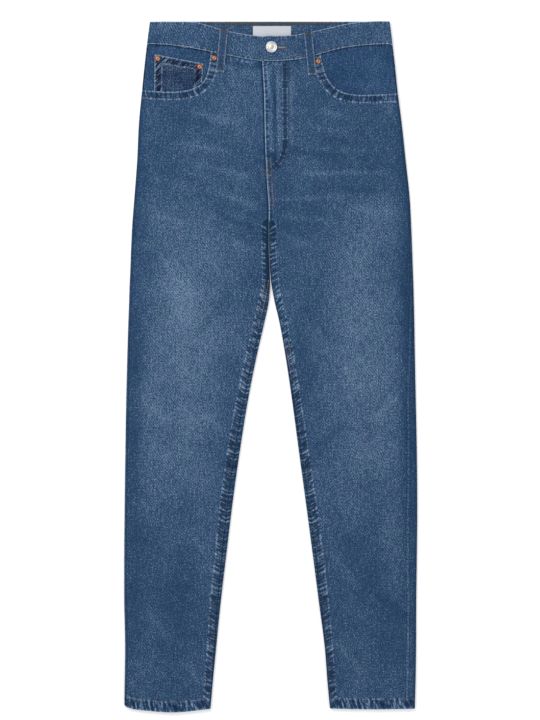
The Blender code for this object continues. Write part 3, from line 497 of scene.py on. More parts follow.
def wall_mesh(name, outer, inner, round_edge):
    """A closed mesh between two grids of (x, down, z), and the order of the grid points round its rim."""
    rows, columns = outer[0].shape
    faces = grid_faces(rows, columns)
    count = rows * columns
    points = [np.stack([np.asarray(part, float).ravel() for part in grid], 1) for grid in (outer, inner)]
    loop = rim_loop(rows, columns)
    step_in = np.zeros(count, int)
    index = np.arange(count).reshape(rows, columns)
    step_in[index[:, 0]], step_in[index[:, -1]] = index[:, 1], index[:, -2]
    step_in[index[0, 1:-1]], step_in[index[-1, 1:-1]] = index[1, 1:-1], index[-2, 1:-1]
    outward = points[0][loop] - points[0][step_in[loop]]
    outward /= np.linalg.norm(outward, axis=1)[:, None] + 1e-9
    edge = (points[0][loop] + points[1][loop]) / 2 + outward * round_edge
    points = np.vstack((points[0], points[1], edge))
    ring = np.arange(len(loop)) + 2 * count
    after = np.roll(loop, -1)
    outer_rim = np.stack((loop, ring, np.roll(ring, -1), after), 1)
    inner_rim = np.stack((ring, loop + count, after + count, np.roll(ring, -1)), 1)
    quads = np.vstack((faces, faces[:, ::-1] + count, outer_rim, inner_rim))
    place = np.column_stack((points[:, 0], MIDDLE_DOWN - points[:, 1], points[:, 2])) * MM
    mesh = bpy.data.meshes.new(name)
    mesh.from_pydata(place.tolist(), [], quads.tolist())
    mesh.update()
    shell = bmesh.new()
    shell.from_mesh(mesh)
    bmesh.ops.recalc_face_normals(shell, faces=shell.faces)
    shell.to_mesh(mesh)
    shell.free()
    return mesh, loop


def over_cloth(outer):
    """Distance across a piece, measured over its surface, equal to x in its middle column."""
    steps = np.hypot(np.diff(outer[0], axis=1), np.diff(outer[2], axis=1))
    across = np.hstack((np.zeros((len(steps), 1)), np.cumsum(steps, 1)))
    middle = outer[0].shape[1] // 2
    across = across - across[:, middle:middle + 1]
    return across * np.sign(outer[0][:, -1:] - outer[0][:, :1]) + outer[0][:, middle:middle + 1]


def cloth_wall(name, outer, inner, material, wash=None, seam=None, looks=(0.5, 0, 0, 0.5), round_edge=0.12):
    """A wall of cloth between two grids of (x, down, z), with its edges rounded.

    It carries the cloth's own map in metres, the wash with any painted shade, and the nearest seam's run,
    distance and looks.
    """
    mesh, loop = wall_mesh(name, outer, inner, round_edge)
    shape = outer[0].shape
    wash = np.zeros(shape) if wash is None else wash
    seam = (np.zeros(shape), np.full(shape, FAR_FROM_SEAM)) if seam is None else seam
    add_map(mesh, "cloth", (over_cloth(outer), -np.asarray(outer[1])), loop)
    add_map(mesh, "seam", seam, loop)
    mark_points(mesh, "wash", "FLOAT", "value", wash.ravel(), loop)
    looks = np.broadcast_to(looks, shape + (4,)).reshape(-1, 4)
    mark_points(mesh, "looks", "FLOAT_COLOR", "color", looks, loop)
    mesh.shade_smooth()
    mesh.materials.append(material)
    return add_object(name, mesh)


def add_map(mesh, name, pair, loop):
    """A map in metres from values on the outer grid, repeated on the inner grid and the edge ring."""
    flat = [np.asarray(part, float).ravel() for part in pair]
    values = [np.concatenate((part, part, part[loop])) * MM for part in flat]
    corners = np.empty(len(mesh.loops), int)
    mesh.loops.foreach_get("vertex_index", corners)
    layer = mesh.uv_layers.new(name=name)
    layer.data.foreach_set("uv", np.stack([part[corners] for part in values], 1).ravel().astype(np.float32))


def mark_points(mesh, name, kind, field, values, loop):
    """A point attribute from values on the outer grid, repeated on the inner grid and the edge ring."""
    layer = mesh.attributes.new(name, kind, "POINT")
    layer.data.foreach_set(field, np.concatenate((values, values, values[loop])).ravel().astype(np.float32))


def linear(hex_colour):
    """An sRGB hex colour as linear RGBA."""
    parts = [int(hex_colour[k:k + 2], 16) / 255 for k in (1, 3, 5)]
    return (*[c / 12.92 if c <= 0.04045 else ((c + 0.055) / 1.055) ** 2.4 for c in parts], 1)


def add_node(tree, kind, settings=None, **inputs):
    """Add a node, set its properties, and set or link its inputs.

    An input goes by its name, with underscores for spaces, or by its number after an i.
    """
    node = tree.nodes.new(kind)
    for key, value in (settings or {}).items():
        setattr(node, key, value)
    for key, value in inputs.items():
        numbered = key[0] == "i" and key[1:].isdigit()
        socket = node.inputs[int(key[1:]) if numbered else key.replace("_", " ")]
        if isinstance(value, bpy.types.NodeSocket):
            tree.links.new(value, socket)
        else:
            socket.default_value = value
    return node


def math_node(tree, operation, a, b=0.0, c=0.0):
    return add_node(tree, "ShaderNodeMath", {"operation": operation}, i0=a, i1=b, i2=c).outputs[0]


def colour_ramp(tree, factor, stops):
    """Colours along a factor, from (place, linear colour) stops in order."""
    node = add_node(tree, "ShaderNodeValToRGB", Fac=factor)
    elements = node.color_ramp.elements
    for place, colour in stops[1:-1]:
        elements.new(place).color = colour
    for element, (place, colour) in ((elements[0], stops[0]), (elements[-1], stops[-1])):
        element.position = place
        element.color = colour
    return node.outputs[0]


def soft_step(tree, value, start, end, first=0.0, last=1.0):
    """A smooth change from one number to another while a value goes from start to end."""
    return add_node(tree, "ShaderNodeMapRange", {"interpolation_type": "SMOOTHSTEP"}, Value=value,
                    From_Min=start, From_Max=end, To_Min=first, To_Max=last).outputs[0]


def new_material(name):
    material = bpy.data.materials.new(name)
    material.use_nodes = True
    tree = material.node_tree
    return material, tree, tree.nodes["Principled BSDF"]


# A wave texture's bands repeat every 0.3142 units at scale 1
WAVE_PERIOD = 0.3142
TWILL_PERIOD = 0.0032
TWILL_SLOPE = -38
# Greys across a sewn band, which ends at 0.5: dark at its two rows of stitches, which is painted shade in
# their grooves, pale where it ends
BAND_GREYS = ((0.0, 0.5), (0.1, 0.44), (0.16, 0.30), (0.26, 0.36), (0.38, 0.30), (0.45, 0.42), (0.495, 0.74),
              (0.54, 0.55), (0.6, 0.5), (1.0, 0.5))


def washed_denim(name, dark, middle, pale, contrast=1.0):
    """Cotton 3/1 right-hand twill with indigo warp and white weft, stone washed.

    Worn high spots show the white core of the yarn. The real twill line is 0.9 mm, too fine for the
    picture, so it is drawn at 3.2 mm, and the yarn's unevenness as short flecks along the warp.
    """
    material, tree, shader = new_material(name)
    cloth = add_node(tree, "ShaderNodeUVMap", {"uv_map": "cloth"}).outputs[0]
    seam = add_node(tree, "ShaderNodeUVMap", {"uv_map": "seam"}).outputs[0]
    seam_parts = add_node(tree, "ShaderNodeSeparateXYZ", Vector=seam)
    run, gap = seam_parts.outputs[0], seam_parts.outputs[1]
    wash = add_node(tree, "ShaderNodeAttribute", {"attribute_name": "wash"}).outputs["Fac"]

    def flecks(scale_x, scale_y, detail):
        place = add_node(tree, "ShaderNodeMapping", Vector=cloth, Scale=(scale_x, scale_y, 1)).outputs[0]
        noise = add_node(tree, "ShaderNodeTexNoise", {"noise_dimensions": "2D"}, Vector=place, Scale=1.0,
                         Detail=detail, Roughness=0.65)
        return math_node(tree, "SUBTRACT", noise.outputs[0], 0.5)

    # Grains per metre across and along the warp: fine yarn, long slubs, short weft, wide clouds
    yarn = flecks(640, 430, 3)
    slub = flecks(360, 70, 2)
    weft = flecks(130, 620, 2)
    clouds = flecks(18, 12, 2)
    twill_turn = (0, 0, math.radians(TWILL_SLOPE))
    twill_place = add_node(tree, "ShaderNodeMapping", Vector=cloth, Rotation=twill_turn).outputs[0]
    twill = add_node(tree, "ShaderNodeTexWave", {"wave_type": "BANDS", "bands_direction": "X"},
                     Vector=twill_place, Scale=WAVE_PERIOD / TWILL_PERIOD, Distortion=3.0, Detail=2.0,
                     Detail_Scale=1.5).outputs["Fac"]
    twill = math_node(tree, "SUBTRACT", twill, 0.5)

    tone = math_node(tree, "MULTIPLY", yarn, 1.2 * contrast)
    for grain, share_of_tone in ((slub, 0.36 * contrast), (weft, 0.3 * contrast), (twill, 0.13 * contrast),
                                 (clouds, 0.2)):
        tone = math_node(tree, "MULTIPLY_ADD", grain, share_of_tone, tone)
    # The wash attribute holds worn paleness and also painted shade at the folds, beside the fly and in the
    # fork
    tone = math_node(tree, "ADD", tone, wash)

    # Beside a seam: a rubbed pale edge where the seam's edge look is positive and a painted shadow line where
    # it is negative, a sewn band darkened by painted shade at its stitch rows, with paler ticks across it,
    # and a rubbed end
    looks = add_node(tree, "ShaderNodeAttribute", {"attribute_name": "looks"})
    parts = add_node(tree, "ShaderNodeSeparateColor", Color=looks.outputs["Color"]).outputs
    edge_look, band_look, tick_look = parts[0], parts[1], parts[2]
    width = math_node(tree, "MULTIPLY", looks.outputs["Alpha"], WIDTH_UNIT * MM)
    share = math_node(tree, "DIVIDE", gap, width)
    pucker_place = add_node(tree, "ShaderNodeCombineXYZ", X=run, Y=gap, Z=0.0).outputs[0]
    pucker_map = add_node(tree, "ShaderNodeMapping", Vector=pucker_place, Scale=(330, 70, 1)).outputs[0]
    pucker = add_node(tree, "ShaderNodeTexNoise", {"noise_dimensions": "2D"}, Vector=pucker_map, Scale=1.0,
                      Detail=1.5, Roughness=0.6).outputs[0]
    pucker = math_node(tree, "SUBTRACT", pucker, 0.5)
    near = soft_step(tree, share, 0.95, 1.25, 1.0, 0.0)
    rubbed = math_node(tree, "MULTIPLY", math_node(tree, "MULTIPLY", pucker, near), tick_look)
    edge = soft_step(tree, gap, 0.0007, 0.0024, 1.0, 0.0)
    greys = [(place, (grey, grey, grey, 1)) for place, grey in BAND_GREYS]
    band = colour_ramp(tree, math_node(tree, "MULTIPLY", share, 0.5), greys)
    shade = math_node(tree, "SUBTRACT", band, 0.5)
    tone = math_node(tree, "MULTIPLY_ADD", rubbed, 2.1, tone)
    tone = math_node(tree, "MULTIPLY_ADD", math_node(tree, "MULTIPLY", edge, edge_look), 0.42, tone)
    tone = math_node(tree, "MULTIPLY_ADD", math_node(tree, "MULTIPLY", shade, band_look), 1.0, tone)

    blues = ((0.0, linear(dark)), (0.5, linear(middle)), (1.0, linear(pale)))
    dye = colour_ramp(tree, math_node(tree, "ADD", tone, 0.5), blues)
    # The indigo is a little redder in some places and greener in others
    tinge = flecks(45, 38, 2)
    tinge = add_node(tree, "ShaderNodeMapRange", Value=tinge, From_Min=-0.25, From_Max=0.25, To_Min=0.493,
                     To_Max=0.507).outputs[0]
    hue = add_node(tree, "ShaderNodeHueSaturation", Hue=tinge, Color=dye)
    tree.links.new(hue.outputs[0], shader.inputs["Base Color"])

    relief = math_node(tree, "MULTIPLY_ADD", twill, 0.5, yarn)
    relief = math_node(tree, "MULTIPLY_ADD", rubbed, 2.0, relief)
    surface = add_node(tree, "ShaderNodeBump", Height=relief, Strength=0.45, Distance=0.0004).outputs[0]
    tree.links.new(surface, shader.inputs["Normal"])
    shader.inputs["Roughness"].default_value = 0.88
    shader.inputs["Specular IOR Level"].default_value = 0.12
    shader.inputs["Sheen Weight"].default_value = 0.03
    return material


denim = washed_denim("washed indigo denim", "#112941", "#284668", "#8199b4")

# Where wearing and washing have paled the fronts: soft ovals, and the tops of the creases. The narrow dark
# ovals along both outer sides, and the one at the fork, are painted shade
FadeAndShade = namedtuple("FadeAndShade", "x down wide tall tone")
FADES_AND_SHADES = [FadeAndShade(*row) for row in (
    (-120, 440, 62, 190, 0.13), (132, 430, 52, 190, 0.10), (-118, 250, 60, 90, -0.04),
    (-150, 620, 45, 130, 0.07), (140, 640, 45, 130, 0.06), (110, 230, 70, 90, -0.06),
    (-55, 110, 40, 50, 0.05), (-205, 560, 12, 330, -0.12), (208, 520, 12, 330, -0.2),
    (-10, 300, 26, 90, -0.10), (-60, 620, 20, 200, -0.05), (-150, 890, 60, 120, -0.07),
    (150, 890, 60, 130, -0.07), (-140, 150, 50, 40, -0.05), (150, 170, 40, 60, -0.04),
    (50, 560, 18, 200, -0.04))]

# Streaks that are only paler or darker: on the fly, beside seams and where the legs have creased. The dark
# streaks along both outer sides are painted shade at the side folds
STREAKS = [Fold(*row) for row in (
    (-5.5, 68, -1.0, 142, 3.4, 0.17), (-3, 150, 0.5, 200, 3.0, 0.10), (4.4, 66, 7.5, 205, 2.0, -0.16),
    (-3.5, 114, -2.0, 134, 2.2, -0.30), (5.0, 106, 6.5, 132, 2.4, -0.16), (10.6, 66, 13.0, 205, 3.4, 0.13),
    (31.5, 70, 31.5, 180, 3.4, 0.10), (24.5, 62, 24.5, 92, 5.0, -0.16), (23, 180, 20, 205, 5.0, -0.20),
    (0, 196, 14, 222, 6.0, -0.22), (-2, 190, 6, 196, 1.6, 0.25), (-20, 60, -14, 72, 7.0, -0.18),
    (-14, 214, -10, 240, 3.0, 0.05), (-196, 36, -190, 300, 8.0, -0.06), (188, 36, 200, 300, 9.0, -0.06),
    (35, 62, 48, 66, 5.0, -0.12), (-60, 62, -24, 70, 4.0, -0.10))]

# How strongly creases and folds are worn pale, and how strong the painted shade is where the cloth turns
# under at both sides
CREASE_TONE = 0.22
FOLD_TONE = 0.02
OUTER_SHADE = 0.2
OUTER_SHADE_WIDTH = 7
INNER_SHADE = 0.1
INNER_SHADE_WIDTH = 5
# Shade on the right front beside the fly's edge
FLY_SHADE = 0.55
FLY_SHADE_WIDTH = (0.4, 3.4)
FLY_SHADE_END = 290
# Painted shade in the deep crease where the legs press together: its width above and below, where it widens,
# starts and ends
FORK_SHADE = 0.95
FORK_WIDTHS = (3.0, 8.0)
FORK_WIDENS = (270, 380)
FORK_STARTS = (268, 310)
FORK_ENDS = (396, 412)


def wash_and_shade_at(leg, layer, x, down):
    """How pale the cloth is worn at a place, less the painted shade at its folds, beside the fly and in the
    fork: 0 is the plain washed blue.
    """
    tone = np.zeros(np.shape(x))
    for tone_patch in FADES_AND_SHADES:
        off_x, off_down = (x - tone_patch.x) / tone_patch.wide, (down - tone_patch.down) / tone_patch.tall
        tone += tone_patch.tone * np.exp(-off_x ** 2 - off_down ** 2)
    tone += CREASE_TONE * folds_at(CREASES, x, down) + FOLD_TONE * folds_at(FOLDS, x, down)
    # Painted shade where the cloth turns under at the outer and inner folds
    outer_fold_shade = 1 - ramp(np.abs(x - leg.outer(down)), 0, OUTER_SHADE_WIDTH)
    inner_fold_shade = (1 - ramp(np.abs(x - leg.inner(down)), 0, INNER_SHADE_WIDTH)) * (down >= CROTCH)
    tone -= OUTER_SHADE * outer_fold_shade + INNER_SHADE * inner_fold_shade
    if layer == "front":
        tone += folds_at(STREAKS, x, down)
    if layer == "front" and leg is RIGHT:
        # Painted shade on the right front beside the fly's edge, where the flap lies over it
        fly_shade_mask = 1 - ramp(np.abs(x - fly_edge(down)), *FLY_SHADE_WIDTH)
        tone -= FLY_SHADE * fly_shade_mask * (down < FLY_SHADE_END)
        # Painted shade in the crease where the legs press together
        reach = mix(*FORK_WIDTHS, ramp(down, *FORK_WIDENS))
        fork_shade_mask = 1 - ramp(np.abs(x - inner_edge(leg, down, layer)), 0.2 * reach, reach)
        tone -= FORK_SHADE * fork_shade_mask * ramp(down, *FORK_STARTS) * (1 - ramp(down, *FORK_ENDS))
    return tone + 0.02 * cloud(x, down, 30, 60, 21)


def leg_panel(leg, layer):
    """One panel as a wall of cloth on its solid's form, puckered along its seams."""
    down = panel_downs(leg, layer)
    x, z, along = panel_surface(leg, layer, down, 0)
    height, gap, run, looks = seam_relief(leg, layer, x, down)
    radius = body_height(down) / 2
    on_top = ramp(z, radius, radius * 1.7)
    lift = height * on_top
    wall = np.broadcast_to(wall_at(down), down.shape)
    inner_x, inner_z, _ = panel_surface(leg, layer, down, wall)
    looks = looks * np.stack((on_top, on_top, on_top, np.ones(x.shape)), -1)
    outer, inner = (x, down, z + lift), (inner_x, down, inner_z + lift * 0.4)
    return cloth_wall(layer + "_" + leg.name + "_denim", outer, inner, denim, wash_and_shade_at(leg, layer, x, down),
                      (run, gap), looks)


def upright(name, outline, low, high):
    """An upright solid over an outline of (x, down) corners, between two heights."""
    mesh = bmesh.new()
    corners = [(x * MM, (MIDDLE_DOWN - down) * MM, low * MM) for x, down in outline]
    base = mesh.faces.new([mesh.verts.new(corner) for corner in corners])
    top = bmesh.ops.extrude_face_region(mesh, geom=[base])["geom"]
    raised = [part for part in top if isinstance(part, bmesh.types.BMVert)]
    bmesh.ops.translate(mesh, verts=raised, vec=(0, 0, (high - low) * MM))
    bmesh.ops.recalc_face_normals(mesh, faces=mesh.faces)
    data = bpy.data.meshes.new(name)
    mesh.to_mesh(data)
    mesh.free()
    return add_object(name, data)


# The cutter of a pocket opening: how far up the garment it reaches, and the heights between which it stands
POCKET_CUT_TOP = 20.0
POCKET_CUT_LOW = 0.5
POCKET_CUT_HIGH = 20.5


def pocket_cutter(opening):
    """A prism over everything of a front above its pocket opening."""
    outline = [tuple(point) for point in smooth_path(opening, 2.5)]
    outline += [(opening[-1].x, POCKET_CUT_TOP), (opening[0].x, POCKET_CUT_TOP)]
    return upright("pocket_cutter", outline, POCKET_CUT_LOW, POCKET_CUT_HIGH)


def apply_modifiers(item):
    """Turn what the modifiers make into the item's own plain mesh."""
    graph = bpy.context.evaluated_depsgraph_get()
    mesh = bpy.data.meshes.new_from_object(item.evaluated_get(graph))
    item.modifiers.clear()
    item.data = mesh
    return item


def cut_away(item, cutter):
    """Cut one shape out of a piece and drop the cutter."""
    modifier = item.modifiers.new("cut", "BOOLEAN")
    modifier.object = cutter
    modifier.solver = "EXACT"
    apply_modifiers(item)
    bpy.data.objects.remove(cutter)
    return item


def finish_piece(piece, slot, *nodes):
    """Ride the one body and stand for the solids named; the slot is not used."""
    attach(piece, "root")
    if nodes:
        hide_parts(*nodes)
    return piece


for leg, opening in ((RIGHT, POCKET_RIGHT), (LEFT, POCKET_LEFT)):
    for layer in ("front", "back"):
        panel = leg_panel(leg, layer)
        if layer == "front":
            cut_away(panel, pocket_cutter(opening))
        finish_piece(panel, "denim", layer + "_" + leg.name)

# Yokes.
# Two shaped pieces of the same denim between the back waistband and the backs, meeting at the centre back.
def make_yoke(leg):
    count = sum(column_counts("back"))
    shares = np.concatenate(([0, 0.03], np.linspace(0.08, 0.92, 14), [0.97, 1]))[:, None]
    down = np.full((len(shares), count), TOP_ZONE / 2)
    for _ in range(3):
        x, _, along = panel_surface(leg, "back", down, 0)
        down = mix(waist_down(along, x) + WAIST_GAP, yoke_down(x) - SEAM_GAP / 2, shares)
    x, z, _ = panel_surface(leg, "back", down, 0)
    inner_x, inner_z, _ = panel_surface(leg, "back", down, DENIM)
    edge = np.minimum(yoke_down(x) - down, down - down[0])
    return cloth_wall("yoke_" + leg.name + "_denim", (x, down, z), (inner_x, down, inner_z), denim,
                      0.03 * cloud(x, down, 30, 40, 22), (x, edge), (0.5, 0.6, 0.5, 0.5))


for leg in (RIGHT, LEFT):
    yoke = finish_piece(make_yoke(leg), "denim", "yoke_" + leg.name)

# Waistband.
# One straight band, folded over its stiffening and sewn all round. It is followed from its right end under
# the button, round the back, to the left end on top, where the tab's corner is rounded by turning.
BAND_HEIGHT = 8.5
BAND_WALL = 2.2
TAB_LIFT = BAND_WALL + SEAM_GAP
TAB_END = -13.0
UNDER_END = 22.0
BAND_FLAT = 168.0
BAND_TOP_RIGHT = [Spot(-184, 1.4), Spot(-145, 1.2), Spot(-112, 2.4), Spot(-95, 6.5), Spot(-75, 12.9),
                  Spot(-45, 19.0), Spot(-13, 23.4), Spot(25, 25.0)]
BAND_TOP_LEFT = [Spot(-13, 23.0), Spot(38, 21.2), Spot(52, 18.5), Spot(90, 10.0), Spot(122, 3.2),
                 Spot(150, 1.0), Spot(184, 0.6)]
TAB_CORNER = curve_through([(0.0, 5.2), (1.0, 2.6), (3.0, 0.9), (7.0, 0.0)])
BUTTON = Spot(1.1, 39.8)
EYE = 3.0
BUTTONHOLE_WIDTH = 2.6
BUTTONHOLE_END = 23.0
band_top = {"right": edge_by_x(BAND_TOP_RIGHT), "left": edge_by_x(BAND_TOP_LEFT)}


def tab_lift(x):
    """How far the left end rises where it lies over the right end."""
    return TAB_LIFT * (1 - ramp(x, UNDER_END + 3, UNDER_END + 30))


def band_relief(x, down, top, low):
    """Small waves of the sewn band, tighter beside its stitched edges."""
    edge = np.minimum(down - top, low - down)
    waves = 0.16 * cloud(x, down, 26, 30, 31)
    return waves + 0.08 * cloud(x, down, 5.0, 30, 32) * (1 - ramp(edge, 2, 9)) - 0.12 * bump(edge, 3.0, 1.0)


def band_front(side, places, shares, depth):
    """The waistband's front from x places, one column each."""
    x = np.broadcast_to(places, (len(shares), len(places)))
    from_end = np.minimum(np.abs(x - (UNDER_END if side is RIGHT else TAB_END)), 7.0)
    corner = TAB_CORNER(from_end)
    top, low = band_top[side.name](x), front_waist(x) - WAIST_GAP / 2
    down = mix(top + corner, low - corner, shares)
    lift = tab_lift(x) if side is LEFT else 0.0
    relief = band_relief(x, down, top, low) * (1.0 if side is LEFT else ramp(-x, -8, 20))
    return x, down, BAND_HEIGHT + lift + relief - depth


def band_fold(side, alongs, shares, depth):
    """The waistband where it turns over a side fold."""
    radius = (BAND_HEIGHT - BACK_LIFT) / 2
    along = np.broadcast_to(alongs, (len(shares), len(alongs)))
    down = np.full(along.shape, 20.0)
    for _ in range(2):
        edge = side.outer(down)
        turn = np.clip(0.5 - along / WAIST_TURN, 0, 1)
        top = mix(band_top[side.name](edge), BACK_BAND_TOP, turn)
        down = mix(top, waist_down(along, edge) - WAIST_GAP / 2, shares)
    angle = np.clip(along / radius, -math.pi / 2, math.pi / 2)
    past = np.maximum(np.abs(along) - radius * math.pi / 2, 0)
    across = radius - (radius - depth) * np.cos(angle) + past
    up = BACK_LIFT + radius + (radius - depth) * np.sin(angle)
    return side.outer(down) - side.outward * across, down, up


def band_back(places, shares, depth):
    x = np.broadcast_to(places, (len(shares), len(places)))
    down = mix(BACK_BAND_TOP, BACK_BAND_LOW - WAIST_GAP / 2, shares)
    return x, np.broadcast_to(down, x.shape), np.broadcast_to(BACK_LIFT + depth, x.shape)


def make_waistband():
    shares = np.concatenate(([0, 0.02, 0.05], np.linspace(0.09, 0.91, 16), [0.95, 0.98, 1]))[:, None]
    near_end = np.array([0.0, 0.4, 1.0, 1.8, 3.0, 4.4, 6.0])
    turns = np.linspace(5.6, -5.6, 15)
    right_xs = np.concatenate((UNDER_END - near_end, np.arange(14, -BAND_FLAT - 0.1, -2.0)))
    back_xs = np.arange(-BAND_FLAT, BAND_FLAT + 0.1, 6.0)
    left_xs = np.concatenate((np.arange(BAND_FLAT, -5, -2.0), TAB_END + near_end[::-1]))
    grids = []
    for depth in (0.0, BAND_WALL):
        parts = [band_front(RIGHT, right_xs, shares, depth), band_fold(RIGHT, turns, shares, depth),
                 band_back(back_xs, shares, depth), band_fold(LEFT, turns[::-1], shares, depth),
                 band_front(LEFT, left_xs, shares, depth)]
        grids.append([np.hstack(column) for column in zip(*parts)])
    x, down, z = grids[0]
    width = down[-1] - down[0]
    edge = np.minimum(shares, 1 - shares) * width
    edge = np.minimum(edge, np.abs(np.arange(x.shape[1]) - (x.shape[1] - 1)) * 2.0 + 0.5)
    tone = 0.05 * cloud(x, down, 24, 14, 33) + 0.1 * (1 - ramp(shares * width, 0.5, 2.5))
    return cloth_wall("waistband_denim", *grids, denim, tone, (x, edge + 0.4), (1.1, 0.55, 0.55, 0.2))


def buttonhole_cutter():
    """The keyhole: a round eye at the button's shank and a slit towards the side."""
    angles = np.radians(30 + 30 * np.arange(11))
    half = BUTTONHOLE_WIDTH / 2
    outline = [(BUTTON.x + EYE * math.cos(a), BUTTON.down + EYE * math.sin(a)) for a in angles]
    end = BUTTONHOLE_END
    outline += [(end - 1, BUTTON.down - half), (end, BUTTON.down), (end - 1, BUTTON.down + half)]
    return upright("buttonhole_cutter", outline, BAND_HEIGHT + 0.6, 20.0)


waistband = cut_away(make_waistband(), buttonhole_cutter())
finish_piece(waistband, "denim", "waistband")

# Pocket facings.
# A panel of darker, less washed denim under each front, which shows in the pocket opening.
dark_denim = washed_denim("dark indigo denim", "#0b1f36", "#213f63", "#6484a4", contrast=0.9)
FACING_WALL = 1.0
FACING_LOW = 152.0
FACING_REACH = 26.0
COIN_WALL = 1.0
FACING_FOLD = np.linspace(0, 16, 14)


def make_facing(leg, opening):
    inner_x = opening[0].x - leg.outward * FACING_REACH
    shares = np.linspace(0, 1, 46)[:, None]
    flat_shares = (np.arange(30) + 1) / 30
    folds = len(FACING_FOLD)
    down = np.full((len(shares), folds + len(flat_shares)), TOP_ZONE / 2)
    lie = np.zeros(down.shape)

    def surface(depth):
        places = leg.outseam(down[:, :folds]) + SEAM_GAP / 2 + FACING_FOLD
        fold_x, fold_z = cloth_points(leg, "outer", places, down[:, :folds], depth[:, :folds], "front")
        start, _ = cloth_points(leg, "outer", places[:, -1:], down[:, folds - 1:folds], 0, "front")
        x = mix(start, inner_x, flat_shares)
        flat_down = down[:, folds:]
        z = body_height(flat_down) + front_rise(leg, x, flat_down) - depth[:, folds:]
        alongs = np.hstack((places, np.full(x.shape, FLAT_ALONG)))
        return np.hstack((fold_x, x)), np.hstack((fold_z, z)), alongs

    for _ in range(3):
        x, _, along = surface(lie)
        down = mix(waist_down(along, x) + WAIST_GAP, FACING_LOW, shares)
    lie = np.full(x.shape, DENIM + SEAM_GAP)
    if leg is RIGHT:
        lie = lie + (COIN_WALL + SEAM_GAP) * ramp(np.abs(x - leg.outer(down)), 6, 15)
    x, z, _ = surface(lie)
    inner_x_grid, inner_z, _ = surface(lie + FACING_WALL)
    edge = np.minimum(down - down[0], np.abs(x - leg.outer(down))) + 0.6
    dent = -0.3 * (1 - ramp(edge, 1, 6)) * (0.5 + 0.5 * cloud(x, down, 6, 6, 35))
    dent = dent - 0.25 * (1 + cloud(x, down, 28, 16, 36))
    tone = 0.05 * cloud(x, down, 26, 14, 37)
    outer, inner = (x, down, z + dent), (inner_x_grid, down, inner_z + dent)
    return cloth_wall("pocket_facing_" + leg.name + "_denim", outer, inner, dark_denim, tone, (x, edge + 1.2),
                      (0.3, 0.2, 0.3, 0.25))


for leg, opening in ((RIGHT, POCKET_RIGHT), (LEFT, POCKET_LEFT)):
    facing = finish_piece(make_facing(leg, opening), "denim", "pocket_facing_" + leg.name)

# Coin pocket.
# A small patch pocket of raw dark denim on the right facing, with a hemmed top edge and two rows of sewing.
raw_denim = washed_denim("raw indigo denim", "#081525", "#182f50", "#7890a8", contrast=0.8)
COIN_TOP = (Spot(-174, 50), Spot(-101, 64))
COIN_LOW = (Spot(-175, 132), Spot(-107, 136))


def coin_spot(across, share):
    """A place on the coin pocket from its side and top edges, both as shares."""
    tops = [mix(getattr(COIN_TOP[0], part), getattr(COIN_TOP[1], part), across) for part in ("x", "down")]
    lows = [mix(getattr(COIN_LOW[0], part), getattr(COIN_LOW[1], part), across) for part in ("x", "down")]
    return mix(tops[0], lows[0], share), mix(tops[1], lows[1], share)


def coin_height(x, down):
    return body_height(down) + front_rise(RIGHT, x, down) - DENIM - SEAM_GAP


def make_coin_pocket():
    shares = np.linspace(0, 1, 40)[:, None]
    across = np.concatenate(([0, 0.012, 0.03], np.linspace(0.05, 0.95, 34), [0.97, 0.988, 1]))
    x, down = coin_spot(np.broadcast_to(across, (40, 40)), shares)
    edge = np.minimum(np.minimum(across, 1 - across) * 70, shares * 76)
    relief = -0.28 * (1 + cloud(x, down, 22, 12, 38)) - 0.2 * bump(edge, 3, 1.2) - 0.15 * bump(edge, 9, 1.2)
    relief = relief * ramp(edge, 0, 2)
    z = coin_height(x, down) + relief
    tone = 0.06 * cloud(x, down, 20, 10, 39)
    return cloth_wall("coin_pocket_denim", (x, down, z), (x, down, z - COIN_WALL * 0.8), raw_denim, tone,
                      (x + down, edge + 0.2), (1.2, 0.9, 1.0, 0.55))


coin_pocket = finish_piece(make_coin_pocket(), "denim", "coin_pocket")

# Back pockets.
# Two five-sided patch pockets, pressed flat between the seat and the table.
POCKET_TOP = 130.0
POCKET_WIDTH = 150.0
POCKET_BASE_WIDTH = 136.0
POCKET_SIDE = 128.0
POCKET_POINT = 150.0
POCKET_X = 108.0
POCKET_LIE = 1.15
POCKET_CORNER = 0.94


def pocket_spot(leg, across, share):
    """A place on a back pocket: across from -1 to 1, share from its top edge to its lower edge."""
    side = np.abs(across)
    low = POCKET_POINT - (POCKET_POINT - POCKET_SIDE) * side / POCKET_CORNER
    low = low - 5 * ramp(side, POCKET_CORNER, POCKET_CORNER + 0.12)
    x = CENTRE_BACK + leg.outward * POCKET_X + across * mix(POCKET_WIDTH, POCKET_BASE_WIDTH, share) / 2
    return x, POCKET_TOP + low * share


for leg in (RIGHT, LEFT):
    shares = np.concatenate(([0, 0.01, 0.03], np.linspace(0.06, 0.94, 30), [0.97, 0.99, 1]))[:, None]
    across = np.concatenate(([-1, -0.985, -0.96], np.linspace(-0.92, 0.92, 37), [0.96, 0.985, 1]))
    x, down = pocket_spot(leg, np.broadcast_to(across, (len(shares), len(across))), shares)
    edge = np.minimum((1 - np.abs(across)) * 71, np.minimum(shares, 1 - shares) * 140)
    low = 0.18 * bump(edge, 3, 0.9) + 0.18 * bump(edge, 9, 0.9) + 0.05
    upper = (x, down, np.full(x.shape, POCKET_LIE))
    tone = 0.04 * cloud(x, down, 25, 30, 41)
    pocket = cloth_wall("back_pocket_" + leg.name + "_denim", (x, down, low), upper, denim, tone,
                        (x + down, edge + 0.3), (1.0, 0.8, 0.6, 0.5))
    finish_piece(pocket, "denim", "back_pocket_" + leg.name)

